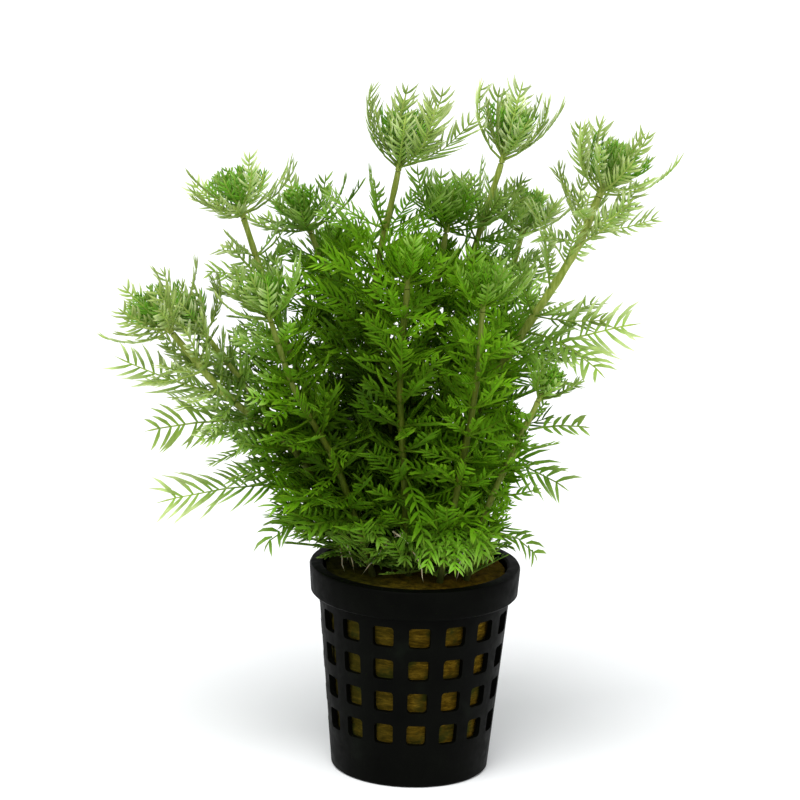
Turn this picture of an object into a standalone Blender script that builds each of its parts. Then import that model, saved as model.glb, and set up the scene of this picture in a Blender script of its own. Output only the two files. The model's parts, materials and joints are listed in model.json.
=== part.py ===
"""American featherfoil, a feathery aquarium plant, growing in a round net pot of mineral wool.

Metres, +Z up. The origin is on the pot's axis in the plane that it stands on, and -Y is the front.
The pot is a tapered basket with a lip. The plug of wool fills it, and each shoot is a stem planted
in the wool with a leafy crown on its tip. A leaf is a midrib with pointed side lobes in pairs.
"""

import math
import random
from collections import defaultdict, namedtuple
from functools import partial

import bmesh
import bpy
from mathutils import Matrix, Vector
from mathutils.bvhtree import BVHTree

MM = 0.001
GAP = 0.3 * MM
SEAM = 0.01 * MM
CREASE = math.radians(35)

# Net pot, sized from its 52 mm lip
RIM_RADIUS = 26.0 * MM
RIM_TAPER = 0.45 * MM
RIM_HEIGHT = 7.7 * MM
RIM_SLOPE = 0.5 * MM
RIM_INNER_RADIUS = 22.8 * MM
POT_HEIGHT = 52.0 * MM
BODY_TOP_RADIUS = 23.6 * MM
BASE_RADIUS = 19.4 * MM
WALL = 1.3 * MM
FLOOR = 1.5 * MM
WINDOW_COLUMNS = 16
WINDOW_ROWS = 4
WINDOW_ANGLE = math.radians(13.2)
WINDOW_HEIGHT = 5.2 * MM
WINDOW_PITCH = 8.5 * MM
LOWEST_WINDOW = 11.3 * MM
FRONT_WINDOW_TURN = math.radians(4.0)

# Mineral wool
WOOL_SIDES = 16
WOOL_BASE_RADIUS = 17.8 * MM
WOOL_TOP_RADIUS = 22.0 * MM
WOOL_TOP = 50.6 * MM
WOOL_CROWN = 1.1 * MM
WOOL_SHOULDER = 3.0 * MM
PLANTING_ROOM = 0.35 * MM

# Leaves: shares of a leaf's own length, unless a unit is given. The outline follows part of a sine's arch
PETIOLE = 0.16
TERMINAL = 0.20
HALF_WIDTH = 0.22
ARCH = (0.2, 0.84)
LOBE_LEAN = 1.1
LOBE_LIFT = 0.16
RIB_HALF_WIDTH = 0.42 * MM
RIB_HALF_THICKNESS = 0.34 * MM
LEFT, RIGHT, RIDGE = 0, 1, 2

# How leaves find room
CLEARANCE = 1.25 * MM
OWN_CLEARANCE = 0.75 * MM
POT_CLEARANCE = 0.9 * MM
MORE_PER_TRY = 0.5
SHORTER_PER_TRY = 0.03
TRIES = 11
SEED = 5

# Stems, whose rings of leaves grow from a short band: shares are of the stem's length
STEM_SIDES = 6
STEM_TAPER = 0.8
STEM_TURN = 25.0
SHORT_STEP = 0.01
EVEN_STATIONS = (0.0, 0.16, 0.5, 1.0)
RING_HALF_HEIGHT = 0.8 * MM
RING_SIDES = (0, 3, 2, 5, 4, 1)
RING_LENGTH = 1.15
RING_LOSS = 0.45
RING_RISES = ((14, 44), (38, 70))
GROWN_LOBES = 2

# Crowns: the low and high edge of each ring of leaves above the stem's tip, and the bud
CROWN_LEVELS = (0.0, 1.8 * MM, 3.6 * MM)
CROWN_TAPER = (1.0, 0.95, 0.75)
CROWN_SIDES = ((0, 2, 4), (1, 3, 5))
CROWN_LENGTHS = (1.0, 0.8)
CROWN_RISES = (0.0, 0.35)
BUD_TIP = 8.0 * MM

Shoot = namedtuple("Shoot", "name path radius rings leaf_length rise")
SingleLeaf = namedtuple("SingleLeaf", "name shoot percent heading rise roll length lobes")
Change = namedtuple("Change", "turn tilt roll size")
Frame = namedtuple("Frame", "point along side up reach")

# How far a leaf may depart from the plan: turned, tilted and rolled in degrees either way, and by what
# share of its length it may be smaller
SINGLE_CHANGE = Change(4, 3, 5, 0.0)
CROWN_CHANGE = Change(10, 7, 24, 0.14)
RING_CHANGE = Change(14, 9, 42, 0.18)

# Each shoot: the points of its stem in mm from foot to tip, its radius in mm at the foot, the places of
# its rings of leaves in percent of its length, the length of its leaves in mm, and the rise in degrees
# of its crown's leaves where they start and where they end
SHOOTS = [
    Shoot("01", ((-4, 2, 44), (-6, 2, 80), (-12, 0, 116), (-7, -3, 150)), 1.1, (46, 86), 24, (28, 104)),
    Shoot("02", ((5, 6, 44), (7, 10, 84), (10, 13, 118), (18, 12, 150)), 1.1, (44, 80), 23, (30, 100)),
    Shoot("03", ((9, -1, 44), (12, -3, 86), (35, -7, 131), (41, -7, 146)), 1.4, (34, 78), 24, (14, 88)),
    Shoot("04", ((-8, 5, 44), (-22, 6, 80), (-35, 5, 110), (-44, 4, 136)), 1.1, (46, 72), 20, (4, 62)),
    Shoot("05", ((-2, 11, 44), (-12, 15, 84), (-21, 18, 112), (-28, 18, 130)), 1.1, (50,), 19, (4, 62)),
    Shoot("06", ((-11, -3, 44), (-28, -5, 78), (-47, -8, 95), (-60, -9, 110)), 1.2, (48, 80), 20, (6, 76)),
    Shoot("07", ((-8, -9, 44), (-19, -14, 78), (-30, -18, 99), (-36, -20, 116)), 1, (54,), 18, (24, 88)),
    Shoot("08", ((11, -9, 44), (17, -14, 70), (23, -17, 86), (28, -18, 98)), 1, (40, 70), 12, (30, 80)),
    Shoot("09", ((-5, -4, 44), (-4, -1, 80), (2, 5, 112), (5, 8, 133)), 1.1, (60,), 20, (20, 84)),
    Shoot("10", ((-10, 12, 44), (-14, 24, 76), (-18, 33, 100), (-21, 37, 116)), 1.1, (60,), 19, (16, 72)),
    Shoot("11", ((7, 14, 44), (13, 22, 78), (19, 28, 106), (24, 30, 128)), 1.1, (60,), 19, (16, 76)),
    Shoot("12", ((-1, -8, 44), (-3, -14, 72), (-5, -18, 102), (-4, -20, 125)), 1.1, (34, 68), 18, (16, 74)),
    Shoot("13", ((5, -13, 44), (9, -17, 72), (13, -19, 100), (14, -20, 120)), 1, (30, 62), 17, (24, 80)),
    Shoot("14", ((-14, 1, 44), (-27, 0, 77), (-41, -2, 94), (-52, -3, 108)), 1, (64,), 17, (16, 84)),
]

# Each single leaf: the shoot it grows on, the place along that stem in percent, its heading in degrees
# (0 is +X and -90 is the front), its rise in degrees where it starts and where it ends, its roll about
# its own midrib in degrees, its length in mm and the number of its pairs of lobes
SINGLE_LEAVES = [
    SingleLeaf("01", "03", 46, -10, (30, 12), 55, 33, 4),
    SingleLeaf("02", "03", 29, -8, (2, -30), 45, 26, 3),
    SingleLeaf("03", "08", 80, 8, (15, -10), 40, 15, 2),
    SingleLeaf("04", "06", 66, 170, (12, 30), -45, 28, 3),
    SingleLeaf("05", "06", 52, 190, (5, -12), -55, 26, 3),
    SingleLeaf("06", "06", 30, 186, (2, -12), -30, 36, 4),
    SingleLeaf("07", "07", 28, 200, (10, -25), -35, 20, 3),
    SingleLeaf("08", "12", 40, -70, (-20, -84), 0, 20, 3),
    SingleLeaf("09", "07", 17, -150, (50, -35), -20, 17, 2),
    SingleLeaf("10", "08", 22, 10, (35, -75), 25, 17, 3),
    SingleLeaf("11", "03", 52, -25, (-5, -50), 50, 24, 3),
    SingleLeaf("12", "06", 14, 190, (50, -80), -40, 22, 3),
    SingleLeaf("13", "11", 24, 70, (20, -50), 0, 21, 3),
    SingleLeaf("14", "10", 26, 130, (10, -45), -10, 23, 3),
    SingleLeaf("15", "13", 28, -58, (30, -84), 0, 18, 3),
]


def material(name, colour, roughness):
    """A plain coloured surface."""
    made = bpy.data.materials.new(name)
    made.use_nodes = True
    shader = made.node_tree.nodes["Principled BSDF"]
    shader.inputs["Base Color"].default_value = (*colour, 1.0)
    shader.inputs["Roughness"].default_value = roughness
    shader.inputs["Metallic"].default_value = 0.0
    return made


def add_object(bm, name, surface):
    """The finished mesh as an object of the scene, smooth up to its creases, in one material."""
    bmesh.ops.recalc_face_normals(bm, faces=bm.faces)
    if bm.calc_volume(signed=True) < 0:
        bmesh.ops.reverse_faces(bm, faces=bm.faces)
    mesh = bpy.data.meshes.new(name)
    bm.to_mesh(mesh)
    bm.free()
    mesh.shade_smooth()
    mesh.set_sharp_from_angle(angle=CREASE)
    if surface:
        mesh.materials.append(surface)
    made = bpy.data.objects.new(name, mesh)
    bpy.context.scene.collection.objects.link(made)
    return made


def body_radius(height):
    """The pot's outer radius under its lip, at this height."""
    return BASE_RADIUS + (BODY_TOP_RADIUS - BASE_RADIUS) * height / (POT_HEIGHT - RIM_HEIGHT)


def window_rows():
    """The lower and upper edge of each row of windows, from the lowest up."""
    lows = [LOWEST_WINDOW + row * WINDOW_PITCH for row in range(WINDOW_ROWS)]
    return [(low, low + WINDOW_HEIGHT) for low in lows]


def pot_profile():
    """The pot's section as (radius, height) points: along the base, up, over the lip and down inside."""
    levels = [height for row in window_rows() for height in row]
    under_lip = POT_HEIGHT - RIM_HEIGHT
    outer = [(0, 0), (BASE_RADIUS, 0)] + [(body_radius(z), z) for z in levels]
    lip = [
        (BODY_TOP_RADIUS, under_lip),
        (RIM_RADIUS - RIM_TAPER, under_lip + RIM_SLOPE),
        (RIM_RADIUS, POT_HEIGHT),
        (RIM_INNER_RADIUS, POT_HEIGHT),
    ]
    inner = [(body_radius(z) - WALL, z) for z in reversed(levels)]
    return outer + lip + inner + [(body_radius(FLOOR) - WALL, FLOOR), (0, FLOOR)]


def window_of(face):
    """The (row, column) of the window that this panel of the pot's wall covers, or None."""
    middle = face.calc_center_median()
    turn = math.atan2(middle.y, middle.x) + math.pi / 2 - FRONT_WINDOW_TURN
    column = turn * WINDOW_COLUMNS / math.tau
    is_bar = abs(column - round(column)) > 0.25
    for row, (low, high) in enumerate(window_rows()):
        if low < middle.z < high and not is_bar:
            return row, round(column) % WINDOW_COLUMNS
    return None


def net_pot(surface):
    """Turns the section round in window-wide and bar-wide steps, then opens the windows."""
    bm = bmesh.new()
    points = [bm.verts.new((radius, 0, height)) for radius, height in pot_profile()]
    sweep = points + [bm.edges.new(pair) for pair in zip(points, points[1:])]
    start = FRONT_WINDOW_TURN - math.pi / 2 - WINDOW_ANGLE / 2
    bmesh.ops.rotate(bm, verts=points, matrix=Matrix.Rotation(start, 3, "Z"))
    for _ in range(WINDOW_COLUMNS):
        for angle in (WINDOW_ANGLE, math.tau / WINDOW_COLUMNS - WINDOW_ANGLE):
            sweep = bmesh.ops.spin(bm, geom=sweep, axis=(0, 0, 1), angle=angle, steps=1)["geom_last"]
    bmesh.ops.remove_doubles(bm, verts=bm.verts, dist=SEAM)
    panels = {}
    for face in bm.faces:
        panels.setdefault(window_of(face), []).append(face)
    panels.pop(None)
    for pair in panels.values():
        edges = [edge for face in pair for edge in face.edges]
        bmesh.ops.delete(bm, geom=pair, context="FACES_ONLY")
        bmesh.ops.bridge_loops(bm, edges=edges)
    return add_object(bm, "net_pot", surface)


def stem_point(shoot, share):
    """A point on the smooth curve through the shoot's own points."""
    path = [Vector(point) * MM for point in shoot.path]
    path = [2 * path[0] - path[1]] + path + [2 * path[-1] - path[-2]]
    place = share * (len(path) - 3)
    start = min(int(place), len(path) - 4)
    before, a, b, after = path[start : start + 4]
    t = place - start
    bend = (2 * before - 5 * a + 4 * b - after) * t + (3 * a - before - 3 * b + after) * t * t
    return a + 0.5 * t * ((b - before) + bend)


def stem_direction(shoot, share):
    """The way the stem runs at this share of its length."""
    low, high = max(share - SHORT_STEP, 0.0), min(share + SHORT_STEP, 1.0)
    return (stem_point(shoot, high) - stem_point(shoot, low)).normalized()


def stem_radius(shoot, share):
    """The stem's radius, which tapers evenly."""
    return shoot.radius * MM * (1 - (1 - STEM_TAPER) * share)


def stem_length(shoot):
    """The length of the stem's curve, measured on short chords."""
    count = round(1 / SHORT_STEP)
    points = [stem_point(shoot, i / count) for i in range(count + 1)]
    return sum((b - a).length for a, b in zip(points, points[1:]))


def ring_share(shoot, level):
    """The place of one of a stem's rings of leaves, as a share of its length."""
    return shoot.rings[level] / 100


def around(along, angle):
    """The outward direction at this angle round an axis."""
    across = Vector((0, 1, 0)).cross(along).normalized()
    return across * math.cos(angle) + along.cross(across) * math.sin(angle)


def corner_angle(shoot, k):
    """The angle of a stem's corner. Each stem is turned on a little from the one before."""
    return math.tau * k / STEM_SIDES + math.radians(STEM_TURN) * int(shoot.name)


def side_angle(shoot, k):
    """The angle of the middle of a stem's side between two corners."""
    return corner_angle(shoot, k + 0.5)


def corners_round(shoot, centre, along, radius):
    """The corners of a stem's cross-section."""
    return [centre + radius * around(along, corner_angle(shoot, k)) for k in range(STEM_SIDES)]


def stem_sections(shoot, shares, room=0.0):
    """The stem's cross-sections at these shares, this much thicker than the stem."""
    return [
        corners_round(shoot, stem_point(shoot, s), stem_direction(shoot, s), stem_radius(shoot, s) + room)
        for s in shares
    ]


def stations(shoot):
    """The shares where the stem has a cross-section: even ones, and a pair round each ring of leaves."""
    half = RING_HALF_HEIGHT / stem_length(shoot)
    rings = [ring_share(shoot, level) for level in range(len(shoot.rings))]
    even = [s for s in EVEN_STATIONS if all(abs(s - share) > 4 * half for share in rings)]
    return sorted(even + [share - half for share in rings] + [share + half for share in rings])


def stem_chord(shoot, share):
    """The centre and direction of the straight length of stem between two cross-sections."""
    shares = stations(shoot)
    low = max(s for s in shares if s <= share)
    high = min(s for s in shares if s > share)
    a, b = stem_point(shoot, low), stem_point(shoot, high)
    return a.lerp(b, (share - low) / (high - low)), (b - a).normalized()


def crown_axis(shoot):
    """The foot of a crown, a gap past its stem's tip, and the way that it points."""
    along = stem_direction(shoot, 1.0)
    return stem_point(shoot, 1.0) + along * GAP, along


def leaf_frames(start, axis, out, length, rise, roll, lobes):
    """Where a leaf's midrib runs: an arc in the plane of its axis and its outward direction.

    The first frame is where it leaves the stem, and the next ones part its pairs of lobes. The stalk
    twists until the blade has its whole roll.
    """
    first, last = (math.radians(angle) for angle in rise)
    bend = last - first
    blade = 1 - PETIOLE - TERMINAL
    shares = [0.0] + [PETIOLE + blade * i / lobes for i in range(lobes + 1)] + [1.0]
    frames = []
    for share in shares:
        angle = first + bend * share
        outward = length * (math.sin(angle) - math.sin(first)) / bend
        upward = length * (math.cos(first) - math.cos(angle)) / bend
        along = out * math.cos(angle) + axis * math.sin(angle)
        twist = math.radians(roll) * min(share / PETIOLE, 1.0)
        up = Matrix.Rotation(twist, 3, along) @ (axis * math.cos(angle) - out * math.sin(angle))
        arch = math.sin(math.pi * (ARCH[0] + (ARCH[1] - ARCH[0]) * share))
        point = start + out * outward + axis * upward
        frames.append(Frame(point, along, along.cross(up), up, HALF_WIDTH * length * arch))
    return frames


def lobe_tip(a, b, hand):
    """The tip of the lobe between two frames, on the left (-1) or the right (+1)."""
    out = a.side * hand + a.along * LOBE_LEAN + a.up * LOBE_LIFT
    return (a.point + b.point) / 2 + out * (a.reach + b.reach) / 2


def petiole_faces(frames):
    """The stalk of a leaf as one thin triangle."""
    root, blade = frames[0], frames[1]
    half = root.side * RIB_HALF_WIDTH
    return [(root.point - half, root.point + half, blade.point)]


def blade_faces(frames):
    """The blade of a leaf as flat triangles, one for each lobe and one for its tip."""
    faces = []
    for a, b in zip(frames[1:-2], frames[2:-1]):
        faces += [(a.point, b.point, lobe_tip(a, b, hand)) for hand in (-1, 1)]
    end = frames[-2]
    half = end.side * RIB_HALF_WIDTH
    return faces + [(end.point - half, end.point + half, frames[-1].point)]


def stem_faces(shoot):
    """The sides of a stem, and of the bud on its crown, as triangles."""
    foot, along = crown_axis(shoot)
    bud = corners_round(shoot, foot + along * BUD_TIP, along, stem_radius(shoot, 1.0))
    rings = stem_sections(shoot, stations(shoot)) + [bud]
    faces = []
    for low, high in zip(rings, rings[1:]):
        for k in range(STEM_SIDES):
            n = (k + 1) % STEM_SIDES
            faces += [(low[k], low[n], high[n]), (low[k], high[n], high[k])]
    return faces


class Piece:
    """Something already in place, as flat triangles and as points spread over them."""

    def __init__(self, owner, faces):
        self.owner = owner
        corners = [corner for face in faces for corner in face]
        self.tree = BVHTree.FromPolygons(corners, [(i, i + 1, i + 2) for i in range(0, len(corners), 3)])
        self.points = []
        for a, b, c in faces:
            self.points += [a, b, c, (a + c) / 2, (b + c) / 2, (a + b + c) / 3]
        self.middle = sum(corners, Vector()) / len(corners)
        self.radius = max((corner - self.middle).length for corner in corners)

    def near(self, other, clearance):
        """Whether the other piece crosses this one or comes closer than the clearance."""
        if (self.middle - other.middle).length > self.radius + other.radius + clearance:
            return False
        if self.tree.overlap(other.tree):
            return True
        if any(self.tree.find_nearest(point, clearance)[0] for point in other.points):
            return True
        return any(other.tree.find_nearest(point, clearance)[0] for point in self.points)


def clear_of_pot(points):
    """Whether these points stay off the pot's lip and the wool."""
    for point in points:
        radius = math.hypot(point.x, point.y)
        over_lip = point.z > POT_HEIGHT + POT_CLEARANCE
        outside = radius > RIM_RADIUS + POT_CLEARANCE
        inside = radius < RIM_INNER_RADIUS - POT_CLEARANCE
        over_wool = inside and point.z > WOOL_TOP + WOOL_CROWN + POT_CLEARANCE
        if not (over_lip or outside or over_wool):
            return False
    return True


class Thicket:
    """Everything that has been placed, and the leaves of each stem, crown and single leaf."""

    def __init__(self):
        self.stems = {shoot.name: Piece(shoot.name, stem_faces(shoot)) for shoot in SHOOTS}
        self.placed = []
        self.leaves = defaultdict(dict)
        self.draw = random.Random(SEED)

    def has_room(self, owner, carrier, blade, whole):
        """Whether a leaf clears all that stands, apart from the stem that carries it."""
        if not clear_of_pot(blade.points):
            return False
        for name, stem in self.stems.items():
            if stem.near(blade if name == carrier else whole, CLEARANCE):
                return False
        for piece in self.placed:
            if piece.owner == owner and piece.near(blade, OWN_CLEARANCE):
                return False
            if piece.owner != owner and piece.near(whole, CLEARANCE):
                return False
        return True

    def drawn_change(self, most, attempt):
        """A random change to a leaf. Each further attempt departs more from the plan and is shorter."""
        turn, tilt, roll = (limit * self.draw.uniform(-1, 1) for limit in most[:3])
        spread = 1 + MORE_PER_TRY * attempt
        size = 1 - self.draw.uniform(0, most.size) - self.draw.uniform(0, SHORTER_PER_TRY) * attempt
        return Change(turn * spread, tilt * spread, roll, size)

    def place(self, owner, carrier, key, most, make_frames):
        """Tries a leaf with one change after another until it has room, or leaves it out."""
        for attempt in range(TRIES):
            frames = make_frames(self.drawn_change(most, attempt))
            blade = Piece(owner, blade_faces(frames))
            whole = Piece(owner, petiole_faces(frames) + blade_faces(frames))
            if self.has_room(owner, carrier, blade, whole):
                self.placed.append(whole)
                self.leaves[owner][key] = frames
                return


def single_leaf_frames(leaf, change):
    """A single leaf, which starts a gap away from its stem's surface."""
    shoot = next(shoot for shoot in SHOOTS if shoot.name == leaf.shoot)
    heading = math.radians(leaf.heading + change.turn)
    out = Vector((math.cos(heading), math.sin(heading), 0))
    centre, along = stem_chord(shoot, leaf.percent / 100)
    square = (out - along * out.dot(along)).length
    off = (stem_radius(shoot, leaf.percent / 100) + GAP + RIB_HALF_THICKNESS) / square
    rise = [angle + change.tilt for angle in leaf.rise]
    length = leaf.length * MM * change.size
    roll = leaf.roll + change.roll
    return leaf_frames(centre + out * off, Vector((0, 0, 1)), out, length, rise, roll, leaf.lobes)


def stem_place(shoot, level, k):
    """Where a leaf grows out of a side of the stem: centre, axis, angle and distance."""
    share = ring_share(shoot, level)
    off = stem_radius(shoot, share) * math.cos(math.pi / STEM_SIDES)
    return stem_point(shoot, share), stem_direction(shoot, share), side_angle(shoot, k), off


def crown_place(shoot, level, k):
    """Where a leaf grows out of a side of the crown's column: centre, axis, angle and distance."""
    foot, along = crown_axis(shoot)
    height = (CROWN_LEVELS[level] + CROWN_LEVELS[level + 1]) / 2
    off = stem_radius(shoot, 1.0) * CROWN_TAPER[level] * math.cos(math.pi / STEM_SIDES)
    return foot + along * height, along, side_angle(shoot, k), off


def grown_leaf_frames(place, length, rise, change):
    """A leaf that grows out of the middle of one side of a stem or crown."""
    centre, along, angle, off = place
    start = centre + around(along, angle) * off
    out = around(along, angle + math.radians(change.turn))
    rise = [angle + change.tilt for angle in rise]
    return leaf_frames(start, along, out, length * change.size, rise, change.roll, GROWN_LOBES)


def crown_leaves(thicket, shoot):
    """Places the two rings of leaves of a crown. The upper ring is shorter and steeper."""
    for level, sides in enumerate(CROWN_SIDES):
        length = shoot.leaf_length * MM * CROWN_LENGTHS[level]
        rise = [angle + CROWN_RISES[level] * (90 - angle) for angle in shoot.rise]
        for k in sides:
            make = partial(grown_leaf_frames, crown_place(shoot, level, k), length, rise)
            thicket.place("crown_" + shoot.name, shoot.name, (level, k), CROWN_CHANGE, make)


def stem_leaves(thicket, shoot):
    """Places the rings of leaves along a stem. They are shorter further up it."""
    for level in range(len(shoot.rings)):
        length = shoot.leaf_length * MM * (RING_LENGTH - RING_LOSS * ring_share(shoot, level))
        for k in RING_SIDES:
            make = partial(grown_leaf_frames, stem_place(shoot, level, k), length, RING_RISES[k % 2])
            thicket.place("stem_" + shoot.name, shoot.name, (level, k), RING_CHANGE, make)


def plan_leaves():
    """Finds a place for every leaf: the single ones first, then the crowns, then the rings on the stems."""
    thicket = Thicket()
    for leaf in SINGLE_LEAVES:
        make = partial(single_leaf_frames, leaf)
        thicket.place("leaf_" + leaf.name, leaf.shoot, "whole", SINGLE_CHANGE, make)
    for shoot in SHOOTS:
        crown_leaves(thicket, shoot)
    for shoot in SHOOTS:
        stem_leaves(thicket, shoot)
    return thicket.leaves


def grown(bm, face, corners):
    """A new length drawn out of a face, whose end has these corners."""
    end = bmesh.ops.extrude_discrete_faces(bm, faces=[face])["faces"][0]
    for vert, corner in zip(end.verts, corners):
        vert.co = corner
    return end


def wall_at(end, edge):
    """The side wall that meets an end face along this edge."""
    return next(face for face in edge.link_faces if face is not end)


def column(bm, rings):
    """A column through these rings of corners. Returns its end face, and its side faces band by band."""
    end = bm.faces.new([bm.verts.new(corner) for corner in rings[0]])
    bands = []
    for corners in rings[1:]:
        end = grown(bm, end, corners)
        bands.append([wall_at(end, loop.edge) for loop in end.loops])
    bmesh.ops.holes_fill(bm, edges=bm.edges)
    return end, bands


def rib_corners(frame):
    """The midrib's three corners at a frame, in the order LEFT, RIGHT, RIDGE."""
    low = frame.point - frame.up * RIB_HALF_THICKNESS
    half = frame.side * RIB_HALF_WIDTH
    return low - half, low + half, frame.point + frame.up * RIB_HALF_THICKNESS


def corner_roles(face, root):
    """Which corner of the midrib each corner of this face leads to."""
    middle = face.calc_center_median()
    ridge = max(face.verts, key=lambda vert: (vert.co - middle).dot(root.up))
    base = [vert for vert in face.verts if vert != ridge]
    left = min(base, key=lambda vert: vert.co.dot(root.side))
    roles = {ridge: RIDGE, left: LEFT}
    return [roles.get(vert, RIGHT) for vert in face.verts]


def raise_lobes(bm, end, roles, a, b):
    """Raises the two upper flanks of the newest length of a midrib into pointed lobes."""
    role_of = dict(zip(end.verts, roles))
    for edge in end.edges[:]:
        ends = [role_of[vert] for vert in edge.verts]
        if RIDGE in ends:
            hand = -1 if LEFT in ends else 1
            bmesh.ops.poke(bm, faces=[wall_at(end, edge)])["verts"][0].co = lobe_tip(a, b, hand)


def grow_leaf(bm, face, frames):
    """Draws a leaf out of a three-cornered face: stalk, lobed blade and pointed end."""
    roles = corner_roles(face, frames[0])
    before = None
    for frame in frames[1:-1]:
        corners = rib_corners(frame)
        face = grown(bm, face, [corners[role] for role in roles])
        if before:
            raise_lobes(bm, face, roles, before, frame)
        before = frame
    bmesh.ops.poke(bm, faces=[face])["verts"][0].co = frames[-1].point


def grow_from_side(bm, side, frames):
    """Grows a leaf out of the lower half of a stem's side."""
    halves = bmesh.ops.triangulate(bm, faces=[side])["faces"]
    lower = min(halves, key=lambda half: half.calc_center_median().dot(frames[0].up))
    grow_leaf(bm, lower, frames)


def stem(shoot, leaves, surface):
    """A stem with the small leaves that grow in rings on it."""
    bm = bmesh.new()
    shares = stations(shoot)
    _, bands = column(bm, stem_sections(shoot, shares))
    for (level, k), frames in leaves.items():
        below = [share for share in shares if share < ring_share(shoot, level)]
        grow_from_side(bm, bands[len(below) - 1][k], frames)
    return add_object(bm, "stem_" + shoot.name, surface)


def crown(shoot, leaves, surface):
    """A crown: a short column with two rings of long leaves, and the pointed bud on top."""
    bm = bmesh.new()
    foot, along = crown_axis(shoot)
    radius = stem_radius(shoot, 1.0)
    levels = zip(CROWN_LEVELS, CROWN_TAPER)
    rings = [corners_round(shoot, foot + along * z, along, radius * taper) for z, taper in levels]
    end, bands = column(bm, rings)
    bmesh.ops.poke(bm, faces=[end])["verts"][0].co = foot + along * BUD_TIP
    for (level, k), frames in leaves.items():
        grow_from_side(bm, bands[level][k], frames)
    return add_object(bm, "crown_" + shoot.name, surface)


def single_leaf(leaf, frames, surface):
    """A leaf that is a piece of its own, closed flat a gap away from its stem."""
    bm = bmesh.new()
    grow_leaf(bm, bm.faces.new([bm.verts.new(corner) for corner in rib_corners(frames[0])]), frames)
    bmesh.ops.holes_fill(bm, edges=bm.edges)
    return add_object(bm, "leaf_" + leaf.name, surface)


def planting_holes():
    """The spaces that the stems stand in, as one cutter for the wool."""
    bm = bmesh.new()
    for shoot in SHOOTS:
        foot, top = stem_sections(shoot, EVEN_STATIONS[:2], PLANTING_ROOM)
        drop = stem_direction(shoot, 0.0) * GAP
        column(bm, [[corner - drop for corner in foot], top])
    cutter = add_object(bm, "planting_holes", None)
    cutter.hide_render = True
    cutter.display_type = "WIRE"
    return cutter


def rockwool_plug(surface):
    """The tapered plug of wool, slightly crowned on top, with a hole for each stem."""
    bm = bmesh.new()
    low = FLOOR + GAP
    bmesh.ops.create_cone(
        bm,
        cap_ends=True,
        segments=WOOL_SIDES,
        radius1=WOOL_BASE_RADIUS,
        radius2=WOOL_TOP_RADIUS,
        depth=WOOL_TOP - low,
        matrix=Matrix.Translation((0, 0, (WOOL_TOP + low) / 2)),
    )
    top = max(bm.faces, key=lambda face: face.calc_center_median().z)
    bmesh.ops.inset_region(bm, faces=[top], thickness=WOOL_SHOULDER)
    bmesh.ops.translate(bm, verts=top.verts, vec=(0, 0, WOOL_CROWN))
    made = add_object(bm, "rockwool_plug", surface)
    cut = made.modifiers.new("planting holes", "BOOLEAN")
    cut.operation = "DIFFERENCE"
    cut.object = planting_holes()
    return made


def build():
    """The whole potted plant."""
    for old in list(bpy.data.objects):
        bpy.data.objects.remove(old)
    black = material("black plastic", (0.012, 0.013, 0.014), 0.42)
    ochre = material("ochre mineral wool", (0.42, 0.27, 0.07), 0.95)
    stalk = material("stem green", (0.36, 0.48, 0.13), 0.5)
    bright = material("crown green", (0.17, 0.42, 0.06), 0.5)
    deep = material("leaf green", (0.12, 0.30, 0.05), 0.5)
    net_pot(black)
    rockwool_plug(ochre)
    leaves = plan_leaves()
    for shoot in SHOOTS:
        stem(shoot, leaves["stem_" + shoot.name], stalk)
        crown(shoot, leaves["crown_" + shoot.name], bright)
    for leaf in SINGLE_LEAVES:
        single_leaf(leaf, leaves["leaf_" + leaf.name]["whole"], deep)


build()
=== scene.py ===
"""The finished look of an American featherfoil in its net pot, on a plain pale floor.

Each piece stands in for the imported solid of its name. The shoots and the leaves are planned by the rules
that place those solids, and are then grown with round stems and fine leaflets.
"""

import json
import math
import random
from collections import defaultdict, namedtuple
from functools import partial

import bmesh
import bpy
from mathutils import Matrix, Vector, noise
from mathutils.bvhtree import BVHTree

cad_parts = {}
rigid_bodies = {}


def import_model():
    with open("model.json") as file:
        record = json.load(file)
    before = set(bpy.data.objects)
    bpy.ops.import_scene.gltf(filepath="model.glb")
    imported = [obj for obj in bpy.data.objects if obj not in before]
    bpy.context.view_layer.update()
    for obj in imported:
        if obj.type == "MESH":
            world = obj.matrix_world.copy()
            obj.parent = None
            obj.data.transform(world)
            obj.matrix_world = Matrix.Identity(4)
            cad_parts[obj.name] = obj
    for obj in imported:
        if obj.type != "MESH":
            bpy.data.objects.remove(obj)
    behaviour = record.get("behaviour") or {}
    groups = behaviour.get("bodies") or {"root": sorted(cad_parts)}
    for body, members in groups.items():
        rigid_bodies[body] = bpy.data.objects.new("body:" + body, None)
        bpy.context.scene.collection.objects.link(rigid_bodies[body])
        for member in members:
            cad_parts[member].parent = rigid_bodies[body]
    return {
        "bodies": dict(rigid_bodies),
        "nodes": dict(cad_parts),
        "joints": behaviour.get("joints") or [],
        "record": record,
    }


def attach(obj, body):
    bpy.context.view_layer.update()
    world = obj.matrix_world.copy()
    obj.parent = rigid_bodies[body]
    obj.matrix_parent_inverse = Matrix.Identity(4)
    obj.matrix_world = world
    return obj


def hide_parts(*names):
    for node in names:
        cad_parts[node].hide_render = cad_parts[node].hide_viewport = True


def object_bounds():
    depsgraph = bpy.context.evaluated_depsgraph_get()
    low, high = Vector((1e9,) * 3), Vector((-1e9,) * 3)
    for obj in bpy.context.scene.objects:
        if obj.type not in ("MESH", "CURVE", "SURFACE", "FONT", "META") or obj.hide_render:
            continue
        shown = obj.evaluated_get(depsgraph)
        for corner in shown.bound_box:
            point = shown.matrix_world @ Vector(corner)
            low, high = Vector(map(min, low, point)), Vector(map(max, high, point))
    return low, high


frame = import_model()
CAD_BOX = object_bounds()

MM = 0.001
UP = Vector((0, 0, 1))
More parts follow.
